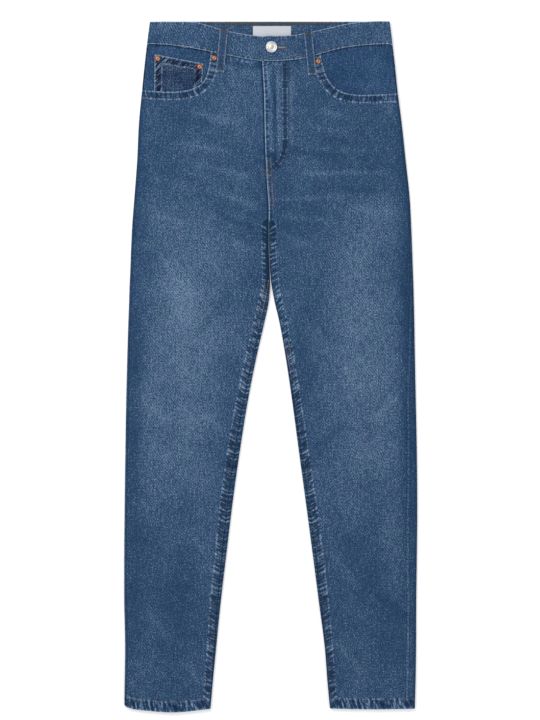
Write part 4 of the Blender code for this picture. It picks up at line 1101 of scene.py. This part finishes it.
# Belt loops.
# Straps of doubled denim, 12 mm wide, sewn along both edges and tacked down at both ends.
LOOP_WIDTH = 12.0
LOOP_WALL = 1.5
LOOP_ARCH = 1.6
LOOP_LENGTH = 62.0
LOOP_STEP = (2, 8)
LOOP_LIFTS = (0.04, 0.3)
LOOP_DROPS = (0.7, 0.93)
BACK_LOOP_TOP = 1.35
Loop = namedtuple("Loop", "name top low")
FRONT_LOOPS = (Loop("belt_loop_front_right", Spot(-70.1, 13.0), Spot(-76.1, 77.4)),
               Loop("belt_loop_front_left", Spot(55.9, 17.0), Spot(62.3, 81.2)))
BACK_LOOPS = (Loop("belt_loop_back_right", Spot(-118, 1.5), Spot(-118, 62)),
              Loop("belt_loop_back_left", Spot(116, 1.5), Spot(116, 62)),
              Loop("belt_loop_back_centre", Spot(CENTRE_BACK, 1.5), Spot(CENTRE_BACK, 62)))


def under_loop(x, down):
    """Height of what a front loop crosses, with the step at the waist seam."""
    leg = RIGHT if x.mean() < 0 else LEFT
    panel = body_height(down) + front_rise(leg, x, down, fine=False)
    tab = tab_lift(x) if leg is LEFT else 0.0
    return mix(BAND_HEIGHT + tab, panel, ramp(down - front_waist(x), *LOOP_STEP))


def loop_surface(loop, share, side):
    """A place on a front loop's top face: share along it, side from -0.5 to 0.5 across it."""
    x_middle = mix(loop.top.x, loop.low.x, share)
    down = mix(loop.top.down, loop.low.down, share)
    arch = LOOP_ARCH * ramp(share, *LOOP_LIFTS) * (1 - ramp(share, *LOOP_DROPS))
    low = np.maximum(under_loop(x_middle - LOOP_WIDTH / 2, down), under_loop(x_middle + LOOP_WIDTH / 2, down))
    return x_middle + side * LOOP_WIDTH, down + 0 * side, low + SEAM_GAP + arch + LOOP_WALL


def make_front_loop(loop):
    shares = np.concatenate(([0, 0.008, 0.02], np.linspace(0.04, 0.96, 44), [0.98, 0.992, 1]))[:, None]
    half = np.array([0.06, 0.18, 0.27, 0.34, 0.4, 0.46, 0.5])
    sides = np.concatenate((-half[::-1], half))
    x, down, z = loop_surface(loop, shares, sides)
    down = np.broadcast_to(down, x.shape)
    edge = (0.5 - np.abs(sides)) * LOOP_WIDTH
    relief = -0.3 * bump(edge, 2.4, 0.8) + 0.12 * cloud(x, down, 12, 3.4, 43)
    relief = relief - 0.25 * (1 - ramp(edge, 0, 0.8))
    from_low = (1 - shares) * LOOP_LENGTH
    relief = relief + 0.25 * (1 - ramp(from_low, 3, 5)) - 0.3 * bump(from_low, 5, 1.2)
    tone = 0.25 * (1 - ramp(edge, 0.5, 1.6)) - 0.12 * ramp(edge, 1.6, 3) + 0.2 * (1 - ramp(from_low, 2, 4))
    underside = (x, down, np.broadcast_to(z - LOOP_WALL, x.shape))
    return cloth_wall(loop.name + "_denim", (x, down, z + relief), underside, denim, tone,
                      (down, np.full(x.shape, AWAY_FROM_SEAM)), round_edge=0.25)


for loop in FRONT_LOOPS:
    strap = finish_piece(make_front_loop(loop), "denim", loop.name)
for loop in BACK_LOOPS:
    shares = np.linspace(0, 1, 32)[:, None]
    sides = np.linspace(-0.5, 0.5, 11)
    x = loop.top.x + LOOP_WIDTH * np.broadcast_to(sides, (32, 11))
    down = np.broadcast_to(mix(loop.top.down, loop.low.down, shares), x.shape)
    low = 0.05 + 0.15 * bump((0.5 - np.abs(sides)) * LOOP_WIDTH, 2.4, 0.8) + 0 * x
    upper = (x, down, np.full(x.shape, BACK_LOOP_TOP))
    strap = cloth_wall(loop.name + "_denim", (x, down, low), upper, denim, None,
                       (down, np.full(x.shape, AWAY_FROM_SEAM)))
    finish_piece(strap, "denim", loop.name)

# Shank button.
# A nickel plated brass cap with a rolled rim and a plain stepped face, on a shank through the keyhole.
button_metal, button_tree, button_shader = new_material("nickel plated brass")
wear = add_node(button_tree, "ShaderNodeAttribute", {"attribute_name": "from_middle"}).outputs["Fac"]
button_place = add_node(button_tree, "ShaderNodeTexCoord").outputs["Object"]
button_scratch = add_node(button_tree, "ShaderNodeTexNoise", Vector=button_place, Scale=1800.0, Detail=3.0)
button_colour = soft_step(button_tree, wear, 2.0, 5.0)
button_mix = add_node(button_tree, "ShaderNodeMix", {"data_type": "RGBA"}, Factor=button_colour)
button_mix.inputs["A"].default_value = linear("#c9b894")
button_mix.inputs["B"].default_value = linear("#c3c8cf")
button_tree.links.new(button_mix.outputs["Result"], button_shader.inputs["Base Color"])
button_rough = add_node(button_tree, "ShaderNodeMapRange", Value=button_scratch.outputs[0], To_Min=0.30,
                        To_Max=0.46)
button_tree.links.new(button_rough.outputs[0], button_shader.inputs["Roughness"])
button_shader.inputs["Metallic"].default_value = 0.85


def turned(name, profile, centre, base, sides, material):
    """A turned solid from (radius, height) pairs, first and last on the axis.

    Its radius is kept as an attribute for the material.
    """
    mesh = bmesh.new()
    layer = mesh.verts.layers.float.new("from_middle")
    rings = []
    for radius, height in profile:
        angles = [2 * math.pi * k / sides for k in range(sides if radius else 1)]
        ring = [mesh.verts.new(((centre.x + radius * math.cos(a)) * MM,
                                (MIDDLE_DOWN - centre.down + radius * math.sin(a)) * MM,
                                (base + height) * MM)) for a in angles]
        for vertex in ring:
            vertex[layer] = radius
        rings.append(ring)
    for lower, upper in zip(rings, rings[1:]):
        for k in range(sides):
            loop = [lower[k % len(lower)], lower[(k + 1) % len(lower)],
                    upper[(k + 1) % len(upper)], upper[k % len(upper)]]
            mesh.faces.new(list(dict.fromkeys(loop)))
    bmesh.ops.recalc_face_normals(mesh, faces=mesh.faces)
    data = bpy.data.meshes.new(name)
    mesh.to_mesh(data)
    mesh.free()
    data.shade_smooth()
    data.set_sharp_from_angle(angle=math.radians(60))
    data.materials.append(material)
    return add_object(name, data)


CAP = TAB_LIFT + SEAM_GAP
CAP_PROFILE = [(7.9, 0.0), (8.5, 0.25), (8.75, 0.8), (8.6, 1.35), (8.2, 1.75), (7.7, 1.9), (7.2, 1.75),
               (6.8, 1.4), (6.4, 1.3), (5.9, 1.4), (5.6, 1.6), (5.2, 1.65), (4.8, 1.5), (4.5, 1.45),
               (2.6, 1.55), (2.3, 1.7), (1.8, 1.75), (0, 1.75)]
SHANK = 2.4
BUTTON_PROFILE = [(0, 0), (SHANK, 0), (SHANK, CAP)] + [(radius, CAP + rise) for radius, rise in CAP_PROFILE]
button = turned("button_cap", BUTTON_PROFILE, BUTTON, BAND_HEIGHT + SEAM_GAP, 64, button_metal)
finish_piece(button, "button_metal", "button")

# Rivets.
# Copper caps with a rolled rim and a paler nail head in the middle, two on the coin pocket and one at each
# pocket's upper corner.
rivet_metal, rivet_tree, rivet_shader = new_material("copper with a plated nail")
rivet_radius = add_node(rivet_tree, "ShaderNodeAttribute", {"attribute_name": "from_middle"}).outputs["Fac"]
RIVET_TINTS = ((0.0, "#2e2426"), (0.2, "#3a2a2a"), (0.3, "#a98672"), (0.5, "#b89682"), (0.62, "#8f4e30"),
               (1.0, "#8a4424"))
rivet_tints = [(place, linear(tint)) for place, tint in RIVET_TINTS]
rivet_colour = colour_ramp(rivet_tree, math_node(rivet_tree, "DIVIDE", rivet_radius, 4.5), rivet_tints)
rivet_tree.links.new(rivet_colour, rivet_shader.inputs["Base Color"])
rivet_shader.inputs["Metallic"].default_value = 0.8
rivet_shader.inputs["Roughness"].default_value = 0.38
RIVETS = (("rivet_coin_outer", Spot(-169.6, 56.4), DENIM + SEAM_GAP),
          ("rivet_coin_inner", Spot(-106.4, 68.6), DENIM + SEAM_GAP),
          ("rivet_pocket_right", Spot(-84.6, 55.8), 0.0),
          ("rivet_pocket_left", Spot(71.2, 60.9), 0.0))
RIVET_PROFILE = [(0, 0), (4.3, 0), (4.3, 0.35), (4.1, 0.7), (3.7, 1.0), (3.2, 1.15), (2.7, 1.1), (2.3, 0.9),
                 (2.1, 0.75), (1.9, 0.85), (1.4, 0.95), (0.8, 0.9), (0.6, 0.7), (0, 0.65)]
for name, centre, lie in RIVETS:
    leg = RIGHT if centre.x < 0 else LEFT
    base = float(body_height(centre.down) + front_rise(leg, np.array(centre.x), centre.down)) - lie + SEAM_GAP
    rivet = turned(name + "_cap", RIVET_PROFILE, centre, base + 0.15, 40, rivet_metal)
    finish_piece(rivet, "rivet_metal", name)

# Zip.
# A closed brass zip on woven tape, hidden under the fly.
def woven_material(name, direction, scale, distortion, dark, pale, roughness):
    """A fine even weave: bands of two close colours."""
    material, tree, shader = new_material(name)
    place = add_node(tree, "ShaderNodeTexCoord").outputs["Object"]
    weave = add_node(tree, "ShaderNodeTexWave", {"wave_type": "BANDS", "bands_direction": direction},
                     Vector=place, Scale=scale, Distortion=distortion).outputs["Fac"]
    tint = colour_ramp(tree, weave, ((0.0, linear(dark)), (1.0, linear(pale))))
    tree.links.new(tint, shader.inputs["Base Color"])
    shader.inputs["Roughness"].default_value = roughness
    return material


woven_tape = woven_material("woven cotton tape", "DIAGONAL", 350.0, 1.0, "#1d2a3c", "#2f4059", 0.85)
zip_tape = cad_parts["zip"]
zip_tape.data.materials.clear()
zip_tape.data.materials.append(woven_tape)

# Inside of the back waistband.
# A blank satin label folded in half, and the band's narrow tape, which shows above the dip of the front.
satin = woven_material("white satin", "Y", 420.0, 0.5, "#b4b9c0", "#c9ced4", 0.45)
LABEL = (Spot(-26.6, 7.5), Spot(30.4, 38.0))
LABEL_WALL = 0.6
label_low = BACK_LIFT + BAND_WALL + SEAM_GAP
label_x = np.broadcast_to(np.linspace(LABEL[0].x, LABEL[1].x, 40), (22, 40))
label_down = np.broadcast_to(np.linspace(LABEL[0].down, LABEL[1].down, 22)[:, None], (22, 40))
label_wave = 0.12 * cloud(label_x, label_down, 14, 20, 51)
label = cloth_wall("inner_label_satin", (label_x, label_down, label_low + LABEL_WALL + label_wave),
                   (label_x, label_down, label_low + 0.12 + label_wave), satin)
finish_piece(label, "label_cloth", "inner_label")

brown_tape = washed_denim("brown grey herringbone tape", "#26282a", "#454545", "#77736d", contrast=0.5)
TAPE_TOP = edge_by_x([Spot(-112, 2.2), Spot(-60, 1.6), Spot(0, 1.4), Spot(60, 1.6), Spot(114, 2.2)])
TAPE_LOW = edge_by_x([Spot(-112, 2.8), Spot(-80, 4.6), Spot(-20, 5.4), Spot(40, 5.4), Spot(90, 4.4),
                      Spot(114, 2.8)])
TAPE_FACES = (4.35, 3.95)
tape_x = np.broadcast_to(np.linspace(-112, 114, 110), (5, 110))
tape_down = mix(TAPE_TOP(tape_x), TAPE_LOW(tape_x), np.linspace(0, 1, 5)[:, None])
tape_faces = [(tape_x, tape_down, np.full(tape_x.shape, height)) for height in TAPE_FACES]
tape_seam = (tape_x, np.full(tape_x.shape, AWAY_FROM_SEAM))
tape = cloth_wall("waist_tape", *tape_faces, brown_tape, None, tape_seam)
finish_piece(tape, "zip_tape")

# Sewing.
# Cotton wrapped thread, mostly tobacco and olive brown, beige and rose at the crotch, ochre at the tacks.
# Each stitch is a short pad of thread, laid along the row by a node tree.
STITCH_PITCH = 3.2


def thread_material(name, dark, pale):
    """Twisted sewing thread, paler in some patches than in others."""
    material, tree, shader = new_material(name)
    place = add_node(tree, "ShaderNodeTexCoord").outputs["Object"]
    rub = add_node(tree, "ShaderNodeTexNoise", Vector=place, Scale=260.0, Detail=2.0).outputs[0]
    tint = colour_ramp(tree, rub, ((0.35, linear(dark)), (0.65, linear(pale))))
    twist = add_node(tree, "ShaderNodeTexWave", {"bands_direction": "DIAGONAL"}, Vector=place, Scale=900.0)
    twist = twist.outputs[0]
    surface = add_node(tree, "ShaderNodeBump", Height=twist, Strength=0.3, Distance=0.0001).outputs[0]
    tree.links.new(tint, shader.inputs["Base Color"])
    tree.links.new(surface, shader.inputs["Normal"])
    shader.inputs["Roughness"].default_value = 0.7
    return material


def stitch_tree():
    """A node tree that sets a pad of thread at every pitch along the rows."""
    tree = bpy.data.node_groups.new("stitching", "GeometryNodeTree")
    tree.interface.new_socket("Rows", in_out="INPUT", socket_type="NodeSocketGeometry")
    sockets = {}
    for name, kind in (("Pitch", "Float"), ("Size", "Vector"), ("Turn", "Float"), ("Thread", "Material")):
        socket = tree.interface.new_socket(name, in_out="INPUT", socket_type="NodeSocket" + kind)
        sockets[name] = socket.identifier
    tree.interface.new_socket("Stitches", in_out="OUTPUT", socket_type="NodeSocketGeometry")
    start = tree.nodes.new("NodeGroupInput").outputs
    curve = add_node(tree, "GeometryNodeMeshToCurve", Mesh=start["Rows"]).outputs[0]
    row = add_node(tree, "GeometryNodeResampleCurve", {"mode": "LENGTH"}, Curve=curve,
                   Length=start["Pitch"]).outputs[0]
    pad = add_node(tree, "GeometryNodeMeshUVSphere", Segments=6, Rings=4, Radius=0.5).outputs[0]
    pad = add_node(tree, "GeometryNodeTransform", Geometry=pad, Rotation=(0, math.pi / 2, 0)).outputs[0]
    tangent = add_node(tree, "GeometryNodeInputTangent").outputs[0]
    facing = add_node(tree, "FunctionNodeAlignRotationToVector", {"axis": "X"}, Vector=tangent).outputs[0]
    spread = add_node(tree, "FunctionNodeRandomValue", {"data_type": "FLOAT"}, i2=-0.12, i3=0.12,
                      Seed=3).outputs[1]
    angle = math_node(tree, "ADD", spread, start["Turn"])
    turn = add_node(tree, "ShaderNodeCombineXYZ", Z=angle).outputs[0]
    rotation = add_node(tree, "FunctionNodeRotateRotation", {"rotation_space": "LOCAL"}, Rotation=facing,
                        Rotate_By=turn).outputs[0]
    placed = add_node(tree, "GeometryNodeInstanceOnPoints", Points=row, Instance=pad, Rotation=rotation,
                      Scale=start["Size"]).outputs[0]
    real = add_node(tree, "GeometryNodeRealizeInstances", Geometry=placed).outputs[0]
    smooth = add_node(tree, "GeometryNodeSetShadeSmooth", Geometry=real).outputs[0]
    done = add_node(tree, "GeometryNodeSetMaterial", Geometry=smooth, Material=start["Thread"]).outputs[0]
    end = tree.nodes.new("NodeGroupOutput")
    tree.links.new(done, end.inputs[0])
    return tree, sockets


STITCHING, SOCKETS = stitch_tree()


def sew(name, rows, thread, slot="denim", pitch=STITCH_PITCH, size=(2.9, 0.75, 0.5), turn=0.0):
    """Sew rows, each an array of (x, down, z) points in millimetres."""
    points, edges = [], []
    for row in rows:
        row = np.asarray(row, float)
        start = len(points)
        points += [(x * MM, (MIDDLE_DOWN - down) * MM, z * MM) for x, down, z in row]
        edges += [(start + k, start + k + 1) for k in range(len(row) - 1)]
    mesh = bpy.data.meshes.new(name)
    mesh.from_pydata(points, edges, [])
    item = add_object(name, mesh)
    modifier = item.modifiers.new("stitching", "NODES")
    modifier.node_group = STITCHING
    values = {"Pitch": pitch * MM, "Size": [side * MM for side in size], "Turn": turn, "Thread": thread}
    for key, value in values.items():
        modifier[SOCKETS[key]] = value
    item.update_tag()
    return finish_piece(apply_modifiers(item), slot)


def row_at(x, down, z):
    """A row of (x, down, z) points, from one or many of each."""
    return np.column_stack(np.broadcast_arrays(x, down, z))


def beside(path, offset):
    """A row beside a path of (x, down) points; positive offsets lie to the right of its direction."""
    steps = np.gradient(path, axis=0)
    normal = np.stack((-steps[:, 1], steps[:, 0]), 1) / np.hypot(*steps.T)[:, None]
    return path + offset * normal


def on_front(leg, path):
    """Lift a row of (x, down) points on to a front."""
    x, down = np.asarray(path, float).T
    height = seam_relief(leg, "front", x, down)[0]
    radius = body_height(down) / 2
    from_fold = np.minimum(np.abs(x - leg.outer(down)), radius)
    drop = radius - np.sqrt(radius ** 2 - (radius - from_fold) ** 2)
    return row_at(x, down, body_height(down) + front_rise(leg, x, down) + height - drop)


def edge_row(leg, edge, offset, first, last):
    """A row beside a leg's seam, from one distance down to another."""
    down = np.arange(first, last, 6.0)
    seam = leg.inseam(down) if edge == "inner" else leg.outseam(down)
    x, z = cloth_points(leg, edge, seam + offset, down, np.zeros(len(down)), "front")
    height = seam_relief(leg, "front", x, down)[0]
    return row_at(x, down, z + height * ramp(seam + offset, 1, 5))


tobacco = thread_material("tobacco sewing thread", "#1c2430", "#5a4a3c")
beige = thread_material("beige rose sewing thread", "#7a6258", "#b39a86")
ochre = thread_material("ochre sewing thread", "#3c3426", "#76623f")

# The inseams' sewing shows from here down: a beige stretch, then tobacco to the hem
INSEAM_SEWN_FROM = {"right": 390, "left": 480}
BEIGE_STRETCH = 50
POCKET_STITCHES = (2.6, 9.4)
INSEAM_STITCHES = (1.8, 7.6)
HEM_STITCHES = 14.0
tobacco_rows, beige_rows = [], []
for leg in (RIGHT, LEFT):
    path = POCKET_PATHS[leg.name]
    inside = np.abs(path[:, 0]) < np.abs(leg.outer(path[:, 1])) - 1
    below = path[(path[:, 1] > front_waist(path[:, 0]) - 2) & inside]
    for offset in POCKET_STITCHES:
        row = beside(below, offset * leg.outward)
        row = row[row[:, 1] > front_waist(row[:, 0]) + 1.5]
        tobacco_rows.append(on_front(leg, row))
    first = INSEAM_SEWN_FROM[leg.name]
    last = first + BEIGE_STRETCH
    for offset in INSEAM_STITCHES:
        beige_rows.append(edge_row(leg, "inner", offset, first, last))
        tobacco_rows.append(edge_row(leg, "inner", offset, last, LENGTH - 20))
    hem_path = HEM_PATHS[leg.name][2:-2]
    tobacco_rows.append(on_front(leg, hem_path - (0, HEM_STITCHES)))

fly_rows = [FLY_PATH, beside(FLY_PATH, -5.6)]
tobacco_rows += [on_front(LEFT, row) for row in fly_rows]
centre = CENTRE_PATH[(CENTRE_PATH[:, 1] > 204) & (CENTRE_PATH[:, 1] < 276)]
beige_rows += [on_front(LEFT, centre + (2.4, 0)), on_front(LEFT, centre + (7.6, 0))]
sew("front_sewing_tobacco", tobacco_rows, tobacco)
sew("front_sewing_beige", beige_rows, beige)

band_rows = []
for side, first, last in ((LEFT, TAB_END + 3.0, 176.0), (RIGHT, -16.0, -179.0)):
    for share_down in (3.0, -3.2):
        xs = np.linspace(first, last, 90)
        top, low = band_top[side.name](xs), front_waist(xs) - WAIST_GAP / 2
        downs = top + share_down if share_down > 0 else low + share_down
        lift = tab_lift(xs) if side is LEFT else 0.0
        heights = BAND_HEIGHT + lift + band_relief(xs, downs, top, low)
        heights = heights - 0.9 * ramp(np.abs(xs - side.outer(downs)), 4, 0)
        band_rows.append(row_at(xs, downs, heights))
tab_downs = np.linspace(26.5, 57.0, 12)
band_rows.append(row_at(TAB_END + 3.0, tab_downs, BAND_HEIGHT + TAB_LIFT))
sew("waistband_sewing", band_rows, tobacco)

# From and to on the coin pocket, as shares across and down it
COIN_ROWS = (((0.04, 0.04), (0.96, 0.04)), ((0.04, 0.125), (0.96, 0.125)), ((0.045, 0.04), (0.045, 0.9)),
             ((0.14, 0.125), (0.14, 0.9)), ((0.955, 0.04), (0.955, 0.9)), ((0.86, 0.125), (0.86, 0.9)))
coin_rows = []
for first, last in COIN_ROWS:
    xs, downs = coin_spot(*np.linspace(first, last, 20).T)
    coin_rows.append(row_at(xs, downs, coin_height(xs, downs) - 0.35))
sew("coin_pocket_sewing", coin_rows, tobacco, size=(2.7, 0.7, 0.5))

loop_rows, tack_rows = [], []
for loop in FRONT_LOOPS:
    for side in (-0.3, 0.3):
        share = np.linspace(0.04, 0.94, 30)
        xs, downs, heights = loop_surface(loop, share, side)
        loop_rows.append(row_at(xs, downs, heights - 0.22))
    for share in (0.045, 0.93):
        sides = np.linspace(-0.42, 0.42, 8)
        xs, downs, heights = loop_surface(loop, np.full(8, share), sides)
        tack_rows.append(row_at(xs, downs, heights + 0.1))
sew("belt_loop_sewing", loop_rows, tobacco)

tack_rows.append(on_front(LEFT, [(-7.0, 222.0), (-7.0, 226.0), (-7.0, 231.0)]))
sew("bar_tacks", tack_rows, ochre, pitch=0.8, size=(2.6, 0.8, 0.6), turn=math.pi / 2)

hole_rows = []
for side in (-1, 1):
    t = np.linspace(0, 1, 16)
    xs = mix(BUTTON.x + 7.0, BUTTONHOLE_END + 0.6, t)
    downs = BUTTON.down + side * mix(3.0, 2.1, t)
    hole_rows.append(row_at(xs, downs, BAND_HEIGHT + TAB_LIFT + 0.1))
sew("buttonhole_sewing", hole_rows, ochre, pitch=0.75, size=(2.6, 0.7, 0.7), turn=math.pi / 2)

# The seat's sewing is seen from below only, on the pockets at this height
POCKET_THREAD = 0.2
seat_rows = []
for leg in (RIGHT, LEFT):
    xs = np.linspace(CENTRE_BACK + leg.outward * 3, leg.outer(80) - leg.outward * 12, 60)
    for offset in (2.0, 8.0):
        downs = yoke_down(xs) - offset
        seat_rows.append(row_at(xs, downs, BACK_LIFT))
    for inset in (0.04, 0.125):
        left, right, low = -1 + inset, 1 - inset, 1 - inset / 2
        for first, last in (((left, 0.02), (left, low)), ((right, 0.02), (right, low)),
                            ((left, low), (0, low)), ((0, low), (right, low))):
            seat_rows.append(row_at(*pocket_spot(leg, *np.linspace(first, last, 24).T), POCKET_THREAD))
    for share in (0.02, 0.09):
        seat_rows.append(row_at(*pocket_spot(leg, np.linspace(-0.95, 0.95, 30), share), POCKET_THREAD))
centre_down = np.linspace(110, 300, 40)
for offset in (2.0, 8.0):
    seat_rows.append(row_at(CENTRE_BACK + offset, centre_down, seat_rise(centre_down) + 0.02))
band_xs = np.linspace(-168, 168, 80)
for down in (BACK_BAND_TOP + 3, BACK_BAND_LOW - 4):
    seat_rows.append(row_at(band_xs, down, BACK_LIFT + 0.02))
for loop in BACK_LOOPS:
    for side in (-3.6, 3.6):
        seat_rows.append(row_at(loop.top.x + side, np.linspace(4, 60, 12), POCKET_THREAD))
sew("seat_sewing", seat_rows, tobacco)

# Table and light.
# A matt white surface, lit by a large soft overhead box, a weaker fill and an even pale room, as in a
# catalogue studio.
FLOOR_SIZE = 4.0
FLOOR_DROP = 0.0006
floor_mesh = bpy.data.meshes.new("table_top")
half = FLOOR_SIZE / 2
floor_corners = [(x, y, -FLOOR_DROP) for x, y in ((-half, -half), (half, -half), (half, half), (-half, half))]
floor_mesh.from_pydata(floor_corners, [], [(0, 1, 2, 3)])
floor = add_object("table_top", floor_mesh)
white_board, board_tree, board_shader = new_material("matt white board")
board_place = add_node(board_tree, "ShaderNodeTexCoord").outputs["Object"]
board_grain = add_node(board_tree, "ShaderNodeTexNoise", Vector=board_place, Scale=900.0, Detail=2.0)
board_bump = add_node(board_tree, "ShaderNodeBump", Height=board_grain.outputs[0], Strength=0.05,
                      Distance=0.0002)
board_tree.links.new(board_bump.outputs[0], board_shader.inputs["Normal"])
board_shader.inputs["Base Color"].default_value = (0.93, 0.93, 0.93, 1)
board_shader.inputs["Roughness"].default_value = 0.9
board_shader.inputs["Emission Color"].default_value = (1, 1, 1, 1)
board_shader.inputs["Emission Strength"].default_value = 0.25
floor_mesh.materials.append(white_board)


def area_light(name, place, aim, size, power):
    data = bpy.data.lights.new(name, "AREA")
    data.shape = "SQUARE"
    data.size = size
    data.energy = power
    item = add_object(name, data)
    item.location = place
    item.rotation_euler = Vector(np.subtract(aim, place)).to_track_quat("-Z", "Y").to_euler()


area_light("overhead_box", (-0.9, 1.1, 1.9), (0, 0, 0), 1.2, 26)
area_light("fill_box", (1.3, -0.8, 2.0), (0, 0, 0), 1.8, 9)
world = bpy.data.worlds.new("pale room")
world.use_nodes = True
world.node_tree.nodes["Background"].inputs["Color"].default_value = (1, 1, 1, 1)
world.node_tree.nodes["Background"].inputs["Strength"].default_value = 0.62
bpy.context.scene.world = world
bpy.context.scene.view_settings.view_transform = "Standard"

# The photograph looks straight down: 540 x 720 pixels of 1.5 mm at the height of the cloth's top face
PIXEL = 1.5
FRAME_WIDTH = 540
FRAME_HEIGHT = 720
MIDLINE_PIXEL = 270.75
TOP_PIXEL = 21
CENTRE_X = (FRAME_WIDTH / 2 - MIDLINE_PIXEL) * PIXEL
CENTRE_DOWN = (FRAME_HEIGHT / 2 - TOP_PIXEL) * PIXEL
SENSOR = 36.0
CAMERA_HEIGHT = 3.2
TOP_FACE = 6.0
camera_data = bpy.data.cameras.new("straight_down")
camera_data.sensor_fit = "VERTICAL"
camera_data.sensor_height = SENSOR
camera_data.lens = SENSOR * (CAMERA_HEIGHT - TOP_FACE * MM) / (FRAME_HEIGHT * PIXEL * MM)
camera = add_object("straight_down", camera_data)
camera.location = (CENTRE_X * MM, (MIDDLE_DOWN - CENTRE_DOWN) * MM, CAMERA_HEIGHT)
bpy.context.scene.camera = camera
